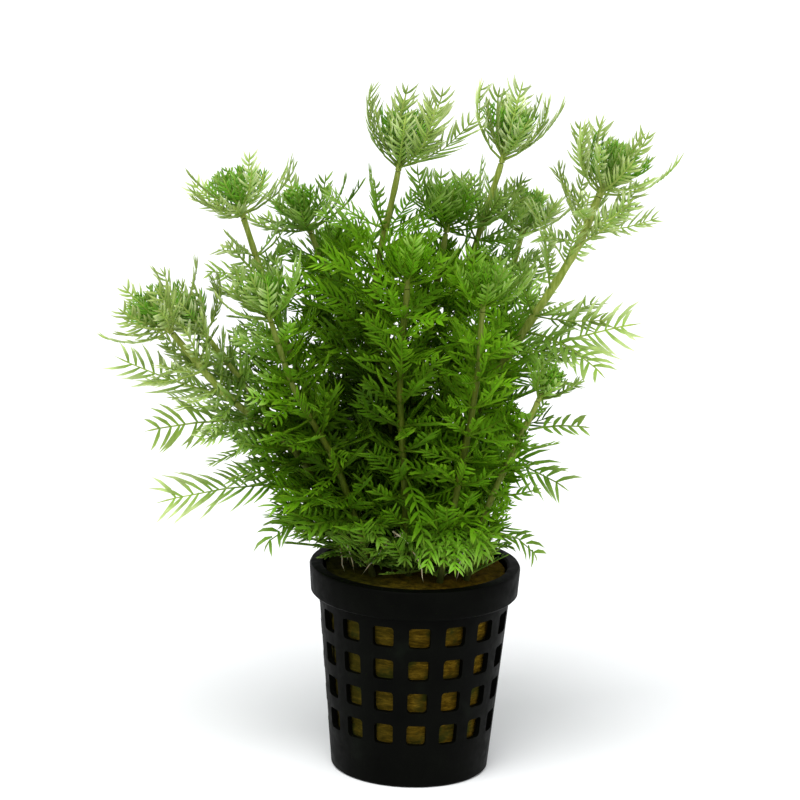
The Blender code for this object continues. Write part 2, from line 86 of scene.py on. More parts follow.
GOLDEN_TURN = 2.4
BODY = "root"

# The photograph's view: a long lens, looking down a little and rolled a little, 195 mm across at the plant
VIEW_TARGET = Vector((-4.9, 0, 93)) * MM
VIEW_DISTANCE = 900 * MM
VIEW_WIDTH = 195.1 * MM
VIEW_DOWN = math.radians(14)
VIEW_ROLL = math.radians(1.7)
SENSOR = 36.0

# The light: each sun's heading and height in degrees, its strength and its spread in degrees
KEY_LIGHT = (-112, 60, 2.7, 40)
FILL_LIGHT = (-40, 35, 0.7, 60)
SKY_COLOUR = (0.98, 0.99, 1.0, 1.0)
SKY_STRENGTH = 0.6
FLOOR_SIZE = 6.0

# Net pot. Its lip ends at steps that are this much further in and lower than its outer top corner
GAP = 0.3 * MM
RIM_RADIUS = 26.0 * MM
RIM_TAPER = 0.45 * MM
RIM_HEIGHT = 7.7 * MM
RIM_DROP = 0.2 * MM
RIM_STEPS = ((0.0, 0.8 * MM), (0.3 * MM, 0.2 * MM), (0.9 * MM, 0.0))
RIM_INNER_RADIUS = 22.8 * MM
POT_HEIGHT = 52.0 * MM
BODY_TOP_RADIUS = 23.6 * MM
BASE_RADIUS = 19.4 * MM
WALL = 1.3 * MM
FLOOR = 1.5 * MM
WINDOW_COLUMNS = 16
WINDOW_ROWS = 4
WINDOW_ANGLE = math.radians(13.2)
WINDOW_HEIGHT = 5.2 * MM
WINDOW_PITCH = 8.5 * MM
LOWEST_WINDOW = 11.3 * MM
FRONT_WINDOW_TURN = math.radians(4.0)
WINDOW_STEPS = 4
BAR_STEPS = 3
WINDOW_CORNER = 0.8 * MM
CORNER_STEPS = 3
CORNER_ANGLE = math.radians(60)
POT_EDGE = 0.5 * MM
BASE_SWELL = 0.05 * MM
SEAM = 0.01 * MM
CREASE = math.radians(50)
POT_CREASE = math.radians(40)
WOOL_CREASE = math.radians(180)

# Mineral wool. Its torn skin is fractal noise, flattened into layers
WOOL_BASE_RADIUS = 17.8 * MM
WOOL_TOP_RADIUS = 22.0 * MM
WOOL_TOP = 50.6 * MM
WOOL_CROWN = 1.1 * MM
WOOL_SIDES = 120
WOOL_ROWS = 60
WOOL_TOP_RINGS = 22
WOOL_ROUGHNESS = 0.45 * MM
WOOL_GRAIN = 3 * MM
WOOL_LAYERING = 2.5
WOOL_FRACTAL = (0.8, 2.2, 5)

# Leaves as planned: shares of a leaf's own length, unless a unit is given
PETIOLE = 0.16
TERMINAL = 0.20
HALF_WIDTH = 0.22
ARCH = (0.2, 0.84)
LOBE_LEAN = 1.1
LOBE_LIFT = 0.16
RIB_HALF_WIDTH = 0.42 * MM
RIB_HALF_THICKNESS = 0.34 * MM
CLEARANCE = 1.25 * MM
OWN_CLEARANCE = 0.75 * MM
POT_CLEARANCE = 0.9 * MM
MORE_PER_TRY = 0.5
SHORTER_PER_TRY = 0.03
TRIES = 11
SEED = 5

# Stems and crowns as planned
STEM_SIDES = 6
STEM_TAPER = 0.8
STEM_TURN = 25.0
SHORT_STEP = 0.01
EVEN_STATIONS = (0.0, 0.16, 0.5, 1.0)
RING_HALF_HEIGHT = 0.8 * MM
RING_SIDES = (0, 3, 2, 5, 4, 1)
RING_LENGTH = 1.15
RING_LOSS = 0.45
RING_RISES = ((14, 44), (38, 70))
GROWN_LOBES = 2
CROWN_LEVELS = (0.0, 1.8 * MM, 3.6 * MM)
CROWN_TAPER = (1.0, 0.95, 0.75)
CROWN_SIDES = ((0, 2, 4), (1, 3, 5))
CROWN_LENGTHS = (1.0, 0.8)
CROWN_RISES = (0.0, 0.35)
BUD_TIP = 8.0 * MM

Shoot = namedtuple("Shoot", "name path radius rings leaf_length rise")
SingleLeaf = namedtuple("SingleLeaf", "name shoot percent heading rise roll length lobes")
Change = namedtuple("Change", "turn tilt roll size")
Leaf = namedtuple("Leaf", "start axis out length rise roll")
Frame = namedtuple("Frame", "point along side up reach")

# How far a leaf may depart from the plan: turned, tilted and rolled in degrees either way, and by what
# share of its length it may be smaller
SINGLE_CHANGE = Change(4, 3, 5, 0.0)
CROWN_CHANGE = Change(10, 7, 24, 0.14)
RING_CHANGE = Change(14, 9, 42, 0.18)

# Each shoot: the points of its stem in mm from foot to tip, its radius in mm at the foot, the places of
# its rings of leaves in percent of its length, the length of its leaves in mm, and the rise in degrees
# of its crown's leaves where they start and where they end
SHOOTS = [
    Shoot("01", ((-4, 2, 44), (-6, 2, 80), (-12, 0, 116), (-7, -3, 150)), 1.1, (46, 86), 24, (28, 104)),
    Shoot("02", ((5, 6, 44), (7, 10, 84), (10, 13, 118), (18, 12, 150)), 1.1, (44, 80), 23, (30, 100)),
    Shoot("03", ((9, -1, 44), (12, -3, 86), (35, -7, 131), (41, -7, 146)), 1.4, (34, 78), 24, (14, 88)),
    Shoot("04", ((-8, 5, 44), (-22, 6, 80), (-35, 5, 110), (-44, 4, 136)), 1.1, (46, 72), 20, (4, 62)),
    Shoot("05", ((-2, 11, 44), (-12, 15, 84), (-21, 18, 112), (-28, 18, 130)), 1.1, (50,), 19, (4, 62)),
    Shoot("06", ((-11, -3, 44), (-28, -5, 78), (-47, -8, 95), (-60, -9, 110)), 1.2, (48, 80), 20, (6, 76)),
    Shoot("07", ((-8, -9, 44), (-19, -14, 78), (-30, -18, 99), (-36, -20, 116)), 1, (54,), 18, (24, 88)),
    Shoot("08", ((11, -9, 44), (17, -14, 70), (23, -17, 86), (28, -18, 98)), 1, (40, 70), 12, (30, 80)),
    Shoot("09", ((-5, -4, 44), (-4, -1, 80), (2, 5, 112), (5, 8, 133)), 1.1, (60,), 20, (20, 84)),
    Shoot("10", ((-10, 12, 44), (-14, 24, 76), (-18, 33, 100), (-21, 37, 116)), 1.1, (60,), 19, (16, 72)),
    Shoot("11", ((7, 14, 44), (13, 22, 78), (19, 28, 106), (24, 30, 128)), 1.1, (60,), 19, (16, 76)),
    Shoot("12", ((-1, -8, 44), (-3, -14, 72), (-5, -18, 102), (-4, -20, 125)), 1.1, (34, 68), 18, (16, 74)),
    Shoot("13", ((5, -13, 44), (9, -17, 72), (13, -19, 100), (14, -20, 120)), 1, (30, 62), 17, (24, 80)),
    Shoot("14", ((-14, 1, 44), (-27, 0, 77), (-41, -2, 94), (-52, -3, 108)), 1, (64,), 17, (16, 84)),
]

# Each single leaf: the shoot it grows on, the place along that stem in percent, its heading in degrees
# (0 is +X and -90 is the front), its rise in degrees where it starts and where it ends, its roll about
# its own midrib in degrees, its length in mm and the number of its pairs of lobes
SINGLE_LEAVES = [
    SingleLeaf("01", "03", 46, -10, (30, 12), 55, 33, 4),
    SingleLeaf("02", "03", 29, -8, (2, -30), 45, 26, 3),
    SingleLeaf("03", "08", 80, 8, (15, -10), 40, 15, 2),
    SingleLeaf("04", "06", 66, 170, (12, 30), -45, 28, 3),
    SingleLeaf("05", "06", 52, 190, (5, -12), -55, 26, 3),
    SingleLeaf("06", "06", 30, 186, (2, -12), -30, 36, 4),
    SingleLeaf("07", "07", 28, 200, (10, -25), -35, 20, 3),
    SingleLeaf("08", "12", 40, -70, (-20, -84), 0, 20, 3),
    SingleLeaf("09", "07", 17, -150, (50, -35), -20, 17, 2),
    SingleLeaf("10", "08", 22, 10, (35, -75), 25, 17, 3),
    SingleLeaf("11", "03", 52, -25, (-5, -50), 50, 24, 3),
    SingleLeaf("12", "06", 14, 190, (50, -80), -40, 22, 3),
    SingleLeaf("13", "11", 24, 70, (20, -50), 0, 21, 3),
    SingleLeaf("14", "10", 26, 130, (10, -45), -10, 23, 3),
    SingleLeaf("15", "13", 28, -58, (30, -84), 0, 18, 3),
]

# Fine leaves: how many pairs of leaflets a leaf has per mm, how far they reach sideways and ahead as
# shares of its length, and the width of one leaflet. Places and sizes vary within the ranges below
Kind = namedtuple("Kind", "pairs_per_mm sideways ahead width")
YOUNG = Kind(0.60, 0.17, 0.25, 0.54 * MM)
FULL = Kind(0.50, 0.20, 0.26, 0.70 * MM)
OLD = Kind(0.38, 0.20, 0.27, 0.78 * MM)
LARGE = Kind(0.34, 0.22, 0.25, 0.94 * MM)
PAIR_COUNTS = range(4, 15)
VARIANTS = 3
LEAFLET_STATIONS = (0.0, 0.3, 0.68)
LEAFLET_WIDTHS = (0.45, 1.0, 0.8)
LEAFLET_THICKNESS = 0.22 * MM
LEAFLET_FOLD = 0.22
LEAFLET_BEND = 0.25
LEAFLETS_END = 0.90
LEAFLET_OFFSET = 0.2
LEAFLET_SHIFT = 0.3
SIDEWAYS_RANGE = (0.62, 1.22)
AHEAD_RANGE = (0.55, 1.25)
FURTHEST_TIP = 1.02
LEAST_REACH = 0.08
MIDRIB_STATIONS = (-0.04, 0.16, 0.5, 0.84, 0.91)
MIDRIB_WIDTHS = (1.0, 0.8, 0.6, 0.45, 0.6)
MIDRIB_WIDTH = 0.80 * MM
MIDRIB_THICKNESS = 0.62 * MM
SWAY = 0.07
LARGE_SWAY = 0.06
TWIST = 0.5

# How young a leaf looks: 0 is old, 0.5 is full-grown and 1 is fresh. On a stem it depends on the height
STEM_YOUTH = (0.1, 0.5)
FULL_HEIGHT = 0.55
LOW_YOUTH = 0.2
LARGE_YOUTH = 0.28
LONG_YOUTH = 0.5
FAN_YOUTH = 0.75
HEART_YOUTH = 0.95
YOUTH_CHANGE = 0.14

# Round stems and crowns, with this many times the corners of the planned ones. A crown's column has its
# heights and shares of the stem's radius
FINENESS = 2
STEM_RING_STEP = 2.2 * MM
LEAST_RINGS = 12
STEM_SLIMNESS = 0.78
NODE_SWELLING = 0.16
NODE_SHARPNESS = 8
CROWN_COLUMN = ((0.0, 0.85), (1.8 * MM, 0.8), (4.0 * MM, 0.6), (6.5 * MM, 0.35))

# Leaves in small whorls between the planned rings: the distance between whorls low and high on a stem,
# the number of leaves in a whorl in the core and clear of it, and how many more the bushy shoots have.
# A leaf's foot is inside the stem, at this share of its radius, and angles are in degrees
WHORL_STEPS = (4.4 * MM, 6.4 * MM)
WHORL_WIDENING = 1.6
WHORL_STEP_RANGE = (0.85, 1.15)
WHORL_SHARES = (0.14, 0.9)
WHORL_LEAVES = (8, 3)
BUSHY = {"01": 1, "02": 2, "03": 1, "04": 1, "05": 1, "06": 3, "11": 2, "14": 3}
WHORL_SHIFT = 0.2
RING_ROOM = 0.4
WHORL_FOOT = 0.7
WHORL_RISES = (0, 48)
WHORL_CURL = (-14, 40)
WHORL_ROLL = 65
WHORL_SIZES = (0.64, 1.0)

# The young leaves in the heart of each crown, from the outermost and longest to the steepest and
# shortest: their number, how many of them are long, and the heights in mm of their feet over the crown's
HEART_LEAVES = 34
HEART_LONG = 8
HEART_HEIGHTS = (1.0, 5.5)
HEART_FOOT = 0.5
HEART_LENGTHS = (0.98, 0.34)
HEART_FALL = 0.36
HEART_TURN = 0.3
HEART_RISE = 76
HEART_TILT = 8
HEART_CURL = (0.4, 0.9)
LEAST_CURL = 8
HEART_ROLL = 45

# Short leaves round the foot of each stem. The first ones are flat and lie over the wool
LOW_LEAVES = 20
LOW_TURN = 0.4
LOW_SHARES = (0.09, 0.24)
LOW_FOOT = 0.6
LOW_LENGTHS = (7.0 * MM, 15.0 * MM)
LOW_RISES = (-10, 55)
LOW_CURL = (-70, 0)
FLAT_LEAVES = 8
FLAT_SHARE = 0.1
FLAT_RISES = (2, 14)
FLAT_CURL = (-14, 4)
FLAT_ROLL = 0.4

# Where no leaf grows that isn't planned: over the bare wool at the front right, given by its least x and
# greatest y and z, over the front of the lip, and in the open air at the plant's right, given by the
# least and greatest x and z of each place in mm. A leaf is lifted by these degrees and shortened to
# these shares to keep clear
BARE_WOOL = (0.0 * MM, -13.5 * MM, 55.0 * MM)
FRONT_LIP = -11.0 * MM
OVER_POT = 6.0 * MM
OPEN_AIR = ((37, 52, 119, 137), (26, 48, 83, 97), (24, 42, 62, 80))
AIR_TRIES = ((0, 1.0), (16, 0.95), (32, 0.85), (46, 0.7))

# The fan of bright leaves that hang in front of one shoot's foot: that shoot, the place on its stem, the
# leaves' rise in degrees where they start and end, and each one's heading in degrees and length in mm
FAN_SHOOT = "13"
FAN_SHARE = 0.27
FAN_RISE = (-12, -86)
FAN = ((-150, 14), (-124, 15), (-104, 13), (-84, 15), (-60, 14), (-35, 12))

# The plant's crowded core, and shares of its size. Between the first two the whorls lose leaves, and
# between the other pairs the leaves and the stems change from painted shade to painted light
CORE = Vector((-6, 0, 92)) * MM
CORE_SIZE = Vector((37, 60, 53)) * MM
CROWD_EDGE = (0.7, 1.2)
CORE_EDGE = (0.88, 1.4)
STEM_EDGE = (0.55, 1.15)

# The shade in the midst of the core: its centre and size, the shares of that size where it begins to
# lift and has gone, and how bright leaves are there
SHADE = Vector((-14, 0, 90)) * MM
SHADE_SIZE = Vector((24, 45, 32)) * MM
SHADE_EDGE = (0.3, 1.2, 0.4, 1.1)

# Heights at which painted shade darkens the wool's top, the stems' dark feet end and the low leaves' painted
# light ends
SHADED_TOP_HEIGHTS = (47.5 * MM, 50.2 * MM)
DARK_FOOT_HEIGHTS = (53 * MM, 60 * MM)
LIGHT_LOW_HEIGHTS = (53 * MM, 68 * MM)

# Roots over the wool. They start at these shares of a stem, and lengths and rises are in mm
ROOTS_PER_STEM = 2
ROOT_RADIUS = 0.26 * MM
ROOT_TAPER = 0.5
ROOT_WAVE = 0.25 * MM
ROOT_STEPS = 9
ROOT_STARTS = (0.12, 0.24)
ROOT_LENGTHS = (5, 13)
ROOT_ARCHES = (2, 5)
ROOT_RISES = (-1, 3)
ROOT_LIFT = 0.6 * MM
ROOT_MARGIN = 2 * MM
FRONT_ROOT = ((-5.5, -15, 64), (1.5, -20, 61), (2, -18.5, 52))


def as_mesh(bm, name):
    """The finished mesh, which takes the place of the one that it was modelled in."""
    mesh = bpy.data.meshes.new(name)
    bm.to_mesh(mesh)
    bm.free()
    return mesh


def add_object(bm, name, surfaces, crease=CREASE):
    """The finished mesh as an object of the scene, smooth up to its creases."""
    mesh = as_mesh(bm, name)
    mesh.shade_smooth()
    mesh.set_sharp_from_angle(angle=crease)
    for surface in surfaces:
        mesh.materials.append(surface)
    made = bpy.data.objects.new(name, mesh)
    bpy.context.scene.collection.objects.link(made)
    return made


def stands_for(piece, node):
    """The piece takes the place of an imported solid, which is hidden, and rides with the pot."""
    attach(piece, BODY)
    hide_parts(node)


def close_up(bm, slot=0):
    """Closes the open ends, turns the faces outwards and gives them one of the object's surfaces."""
    bmesh.ops.holes_fill(bm, edges=bm.edges)
    bmesh.ops.recalc_face_normals(bm, faces=bm.faces)
    for face in bm.faces:
        face.material_index = slot


def level_way(heading):
    """The level direction of this heading in radians."""
    return Vector((math.cos(heading), math.sin(heading), 0))


# The view, the floor and the light


def add_camera():
    """The camera at the photograph's viewing angle, framed for a square picture."""
    forward = Vector((0, math.cos(VIEW_DOWN), -math.sin(VIEW_DOWN)))
    level = Vector((1, 0, 0))
    upright = level.cross(forward)
    right = level * math.cos(VIEW_ROLL) + upright * math.sin(VIEW_ROLL)
    up = upright * math.cos(VIEW_ROLL) - level * math.sin(VIEW_ROLL)
    data = bpy.data.cameras.new("photo view")
    data.sensor_fit = "HORIZONTAL"
    data.sensor_width = SENSOR
    data.lens = SENSOR * VIEW_DISTANCE / VIEW_WIDTH
    camera = bpy.data.objects.new("photo view", data)
    turn = Matrix((right, up, -forward)).transposed().to_4x4()
    camera.matrix_world = Matrix.Translation(VIEW_TARGET - forward * VIEW_DISTANCE) @ turn
    bpy.context.scene.collection.objects.link(camera)
    bpy.context.scene.camera = camera


def add_sun(name, heading, height, strength, spread):
    """A broad soft light from this heading and height in degrees, where -90 is the front."""
    data = bpy.data.lights.new(name, "SUN")
    data.energy = strength
    data.angle = math.radians(spread)
    light = bpy.data.objects.new(name, data)
    flat, rise = math.radians(heading), math.radians(height)
    source = Vector((math.cos(flat) * math.cos(rise), math.sin(flat) * math.cos(rise), math.sin(rise)))
    light.rotation_euler = source.to_track_quat("Z", "Y").to_euler()
    bpy.context.scene.collection.objects.link(light)


def add_studio():
    """A pale floor and soft light from above and the front, with a pale sky."""
    world = bpy.data.worlds.new("studio")
    world.use_nodes = True
    sky = world.node_tree.nodes["Background"]
    sky.inputs["Color"].default_value = SKY_COLOUR
    sky.inputs["Strength"].default_value = SKY_STRENGTH
    scene = bpy.context.scene
    scene.world = world
    scene.view_settings.view_transform = "Standard"
    add_sun("key", *KEY_LIGHT)
    add_sun("fill", *FILL_LIGHT)
    bm = bmesh.new()
    bmesh.ops.create_grid(bm, x_segments=1, y_segments=1, size=FLOOR_SIZE)
    floor = add_object(bm, "floor", [pale_floor()])


# Surfaces


class Surface:
    """A material under a Principled shader, with short ways to add and link its nodes."""

    def __init__(self, name, roughness, **sockets):
        self.material = bpy.data.materials.new(name)
        self.material.use_nodes = True
        self.nodes = self.material.node_tree.nodes
        self.links = self.material.node_tree.links
        self.shader = self.nodes["Principled BSDF"]
        self.shader.inputs["Roughness"].default_value = roughness
        for socket, value in sockets.items():
            self.shader.inputs[socket.replace("_", " ")].default_value = value
        self.place = self.nodes.new("ShaderNodeTexCoord").outputs["Object"]

    def node(self, kind, inputs=None, **settings):
        """A node with its settings, and with a value or a link at each named input."""
        made = self.nodes.new("ShaderNode" + kind)
        for key, value in settings.items():
            setattr(made, key, value)
        for key, value in (inputs or {}).items():
            self.feed(made.inputs[key], value)
        return made

    def feed(self, socket, value):
        """Puts a value on a socket, or links an output to it."""
        if isinstance(value, bpy.types.NodeSocket):
            self.links.new(value, socket)
        else:
            socket.default_value = value

    def away(self, axis):
        """How far a point is from the origin along an axis, in metres."""
        return self.node("SeparateXYZ", {"Vector": self.place}).outputs[axis]

    def noise(self, size, detail=3.0, stretch=(1, 1, 1), roughness=0.55):
        """Noise with features of this size in metres, stretched along the axes."""
        moved = self.node("Mapping", {"Vector": self.place, "Scale": [1 / (size * s) for s in stretch]})
        inputs = {"Vector": moved.outputs["Vector"], "Scale": 1.0, "Detail": detail, "Roughness": roughness}
        return self.node("TexNoise", inputs).outputs["Fac"]

    def attribute(self, name):
        """A number that the mesh holds at each point."""
        return self.node("Attribute", attribute_name=name, attribute_type="GEOMETRY").outputs["Fac"]

    def spread(self, value, low, high, to_low=0.0, to_high=1.0):
        """The part of a value between two limits, stretched to two others."""
        inputs = {"Value": value, 1: low, 2: high, 3: to_low, 4: to_high}
        return self.node("MapRange", inputs, clamp=True).outputs["Result"]

    def times(self, a, b):
        """One number times another."""
        return self.node("Math", {0: a, 1: b}, operation="MULTIPLY").outputs["Value"]

    def greater(self, a, b):
        """The greater of two numbers."""
        return self.node("Math", {0: a, 1: b}, operation="MAXIMUM").outputs["Value"]

    def depth(self, centre, sizes):
        """How far a point is from the centre of an ellipsoid, as a share of its sizes along the axes."""
        scale = [1 / size for size in sizes]
        shift = [-middle * each for middle, each in zip(centre, scale)]
        moved = self.node("Mapping", {"Vector": self.place, "Location": shift, "Scale": scale})
        return self.node("VectorMath", {0: moved.outputs["Vector"]}, operation="LENGTH").outputs["Value"]

    def openness(self, edge):
        """How far out of the plant's crowded core a point is: 0 in it and 1 clear of this edge."""
        return self.spread(self.depth(CORE, CORE_SIZE), *edge)

    def ramp(self, value, *stops):
        """A colour for each value, from (place, colour) stops."""
        made = self.node("ValToRGB", {"Fac": value})
        elements = made.color_ramp.elements
        while len(elements) < len(stops):
            elements.new(0.5)
        for element, (position, colour) in zip(elements, stops):
            element.position = position
            element.color = (*colour, 1.0)
        return made.outputs["Color"]

    def mix(self, factor, a, b, blend="MIX"):
        """One colour laid over another."""
        made = self.nodes.new("ShaderNodeMix")
        made.data_type = "RGBA"
        made.blend_type = blend
        self.feed(made.inputs["Factor"], factor)
        for socket, value in (("A", a), ("B", b)):
            target = next(each for each in made.inputs if each.name == socket and each.type == "RGBA")
            self.feed(target, (*value, 1.0) if isinstance(value, tuple) else value)
        return next(each for each in made.outputs if each.type == "RGBA")

    def bump(self, height, depth, strength=1.0):
        """Relief of this depth in metres on the shader."""
        inputs = {"Height": height, "Distance": depth, "Strength": strength}
        self.feed(self.shader.inputs["Normal"], self.node("Bump", inputs).outputs["Normal"])

    def colour(self, value):
        """Sets the base colour."""
        self.feed(self.shader.inputs["Base Color"], value)

    def rough(self, value):
        """Sets a roughness that varies."""
        self.feed(self.shader.inputs["Roughness"], value)


def pale_floor():
    """Nearly white matt paper."""
    surface = Surface("pale floor", 0.9, Specular_IOR_Level=0.2)
    surface.colour(surface.ramp(surface.noise(0.2), (0.3, (0.86, 0.87, 0.88)), (0.7, (0.89, 0.90, 0.90))))
    return surface.material


def black_plastic():
    """Moulded black plastic, a little worn, with a dull green-grey bloom."""
    surface = Surface("black plastic", 0.5, Specular_IOR_Level=0.03)
    bloom = surface.noise(9 * MM, detail=5.0)
    worn = [(0.35, (0.0007, 0.0008, 0.0005)), (0.62, (0.0014, 0.0017, 0.0010)), (0.8, (0.0035, 0.005, 0.003))]
    surface.colour(surface.ramp(bloom, *worn))
    surface.rough(surface.spread(surface.noise(2.5 * MM, detail=6.0), 0.3, 0.7, 0.42, 0.62))
    surface.bump(surface.noise(0.8 * MM, detail=4.0), 0.05 * MM, 0.5)
    return surface.material


def ochre_wool():
    """Mineral wool: ochre fibres in flat layers, with a green stain towards the left. Painted shade darkens
    its top, and is dark green on the left of the top.
    """
    surface = Surface("ochre wool", 0.95, Specular_IOR_Level=0.03)
    layers = surface.noise(1.1 * MM, detail=8.0, stretch=(2.2, 2.2, 0.5), roughness=0.7)
    ochres = [(0.3, (0.030, 0.016, 0.001)), (0.5, (0.105, 0.062, 0.004)), (0.72, (0.30, 0.18, 0.016))]
    left = surface.spread(surface.away("X"), -14 * MM, 6 * MM, 0.75, 0.0)
    patches = surface.spread(surface.noise(7 * MM, detail=3.0), 0.48, 0.62)
    fibres = surface.ramp(layers, *ochres)
    stained = surface.mix(surface.greater(left, patches), fibres, (0.034, 0.036, 0.005))
    # Painted shade on the wool's top, under the plant: dark ochre, and dark green towards the left
    top = surface.spread(surface.away("Z"), *SHADED_TOP_HEIGHTS, 0.0, 0.8)
    painted_top_shade = surface.ramp(layers, (0.35, (0.022, 0.014, 0.001)), (0.6, (0.115, 0.072, 0.004)))
    painted_left_shade = surface.ramp(layers, (0.35, (0.006, 0.010, 0.001)), (0.6, (0.024, 0.036, 0.003)))
    surface.colour(surface.mix(top, stained, surface.mix(left, painted_top_shade, painted_left_shade)))
    surface.bump(surface.noise(0.45 * MM, detail=8.0, stretch=(3, 3, 0.6), roughness=0.75), 0.35 * MM, 0.9)
    return surface.material


def leaf_green():
    """Thin feathery leaves: painted shade makes them deep green in the core, and painted light makes them
    light outside it and by the wool.

    Their leaflets' ends are paler, on full-grown leaves most of all, and their colour is a little uneven.
    """
    surface = Surface("leaf green", 0.6, Specular_IOR_Level=0.06, Subsurface_Weight=0.12)
    surface.shader.inputs["Subsurface Scale"].default_value = 0.5 * MM
    surface.shader.inputs["Subsurface Radius"].default_value = (0.6, 1.0, 0.15)
    youth, reach, tint = (surface.attribute(name) for name in ("youth", "reach", "tint"))
    # Shaded and lit copies of the greens, as painted shade in the core and painted light outside it
    shaded_greens = [(0.0, (0.042, 0.120, 0.001)), (0.5, (0.082, 0.232, 0.002)), (1.0, (0.10, 0.29, 0.003))]
    lights = [(0.0, (0.11, 0.20, 0.012)), (0.5, (0.225, 0.345, 0.056)), (1.0, (0.11, 0.32, 0.009))]
    # Painted light on the low leaves by the wool
    low = surface.spread(surface.away("Z"), *LIGHT_LOW_HEIGHTS, 0.3, 0.0)
    lit_share = surface.greater(surface.openness(CORE_EDGE), low)
    blade = surface.mix(lit_share, surface.ramp(youth, *shaded_greens), surface.ramp(youth, *lights))
    # Painted shade and painted light on the paler leaflet ends
    shaded_ends = surface.mix(tint, (0.088, 0.215, 0.003), (0.17, 0.32, 0.012))
    lit_ends = surface.mix(tint, (0.41, 0.51, 0.16), (0.67, 0.73, 0.44))
    full_grown = surface.spread(youth, 0.2, 0.45, 0.4, 1.0)
    not_fresh = surface.spread(youth, 0.6, 1.0, 1.0, 0.15)
    ends = surface.times(surface.spread(reach, 0.12, 0.9, 0.0, 0.85), surface.times(full_grown, not_fresh))
    whole = surface.mix(ends, blade, surface.mix(lit_share, shaded_ends, lit_ends))
    # Painted shade and painted light on the midribs
    ribs = surface.mix(lit_share, (0.10, 0.17, 0.008), (0.36, 0.43, 0.11))
    ribbed = surface.mix(surface.spread(reach, 0.0, 0.06, 0.6, 0.0), whole, ribs)
    patches = surface.spread(surface.noise(3 * MM, detail=4.0), 0.3, 0.7, 0.75, 1.2)
    uneven = surface.times(patches, surface.spread(tint, 0.0, 1.0, 0.8, 1.2))
    # Painted shade, darkest in the midst of the core, laid on the uneven tint
    tint_and_shade = surface.times(uneven, surface.spread(surface.depth(SHADE, SHADE_SIZE), *SHADE_EDGE))
    tint_and_shade_colour = surface.node("CombineColor", {0: tint_and_shade, 1: tint_and_shade, 2: tint_and_shade}).outputs[0]
    surface.colour(surface.mix(1.0, ribbed, tint_and_shade_colour, "MULTIPLY"))
    surface.bump(surface.noise(0.5 * MM, detail=3.0), 0.05 * MM, 0.5)
    return surface.material


def stem_green():
    """Smooth juicy stems, yellow-green with fine lengthwise streaks, brown patches and a dark foot. Painted
    shade makes them deep green in the plant's core.
    """
    surface = Surface("stem green", 0.5, Specular_IOR_Level=0.12, Subsurface_Weight=0.12)
    surface.shader.inputs["Subsurface Scale"].default_value = 0.8 * MM
    surface.shader.inputs["Subsurface Radius"].default_value = (0.8, 1.0, 0.2)
    streaks = surface.noise(0.6 * MM, detail=4.0, stretch=(1, 1, 14))
    # Lit and shaded copies of the stem greens, as painted shade in the plant's core
    lights = [(0.3, (0.19, 0.26, 0.030)), (0.52, (0.30, 0.37, 0.070)), (0.75, (0.45, 0.50, 0.16))]
    shaded_greens = [(0.3, (0.036, 0.062, 0.002)), (0.52, (0.070, 0.105, 0.005)), (0.75, (0.12, 0.16, 0.012))]
    greens = [surface.ramp(streaks, *stops) for stops in (shaded_greens, lights)]
    patches = surface.times(surface.spread(surface.noise(7 * MM, detail=2.0), 0.45, 0.75), 0.5)
    browned = surface.mix(patches, surface.mix(surface.openness(STEM_EDGE), *greens), (0.12, 0.13, 0.012))
    foot = surface.spread(surface.away("Z"), *DARK_FOOT_HEIGHTS, 0.85, 0.0)
    surface.colour(surface.mix(foot, browned, (0.010, 0.012, 0.001)))
    surface.bump(streaks, 0.08 * MM, 0.5)
    return surface.material


def root_cream():
    """Thin pale roots, browner in places."""
    surface = Surface("root cream", 0.6, Subsurface_Weight=0.2, Subsurface_Scale=0.5 * MM)
    creams = [(0.3, (0.45, 0.38, 0.20)), (0.7, (0.72, 0.68, 0.48))]
    surface.colour(surface.ramp(surface.noise(1.5 * MM), *creams))
    return surface.material


# The plan of the shoots and leaves


def stem_point(shoot, share):
    """A point on the smooth curve through the shoot's own points."""
    path = [Vector(point) * MM for point in shoot.path]
    path = [2 * path[0] - path[1]] + path + [2 * path[-1] - path[-2]]
    place = share * (len(path) - 3)
    start = min(int(place), len(path) - 4)
    before, a, b, after = path[start : start + 4]
    t = place - start
    bend = (2 * before - 5 * a + 4 * b - after) * t + (3 * a - before - 3 * b + after) * t * t
    return a + 0.5 * t * ((b - before) + bend)


def stem_direction(shoot, share):
    """The way the stem runs at this share of its length."""
    low, high = max(share - SHORT_STEP, 0.0), min(share + SHORT_STEP, 1.0)
    return (stem_point(shoot, high) - stem_point(shoot, low)).normalized()


def stem_radius(shoot, share):
    """The stem's radius, which tapers evenly."""
    return shoot.radius * MM * (1 - (1 - STEM_TAPER) * share)


def stem_length(shoot):
    """The length of the stem's curve, measured on short chords."""
    count = round(1 / SHORT_STEP)
    points = [stem_point(shoot, i / count) for i in range(count + 1)]
    return sum((b - a).length for a, b in zip(points, points[1:]))


def ring_share(shoot, level):
    """The place of one of a stem's rings of leaves, as a share of its length."""
    return shoot.rings[level] / 100


def around(along, angle):
    """The outward direction at this angle round an axis."""
    across = Vector((0, 1, 0)).cross(along).normalized()
    return across * math.cos(angle) + along.cross(across) * math.sin(angle)


def corner_angle(shoot, k):
    """The angle of a stem's corner. Each stem is turned on a little from the one before."""
    return math.tau * k / STEM_SIDES + math.radians(STEM_TURN) * int(shoot.name)


def side_angle(shoot, k):
    """The angle of the middle of a stem's side between two corners."""
    return corner_angle(shoot, k + 0.5)


def corners_round(shoot, centre, along, radius, finer=1):
    """The corners of a stem's cross-section, or of one with several times as many corners."""
    corners = [k / finer for k in range(STEM_SIDES * finer)]
    return [centre + radius * around(along, corner_angle(shoot, k)) for k in corners]


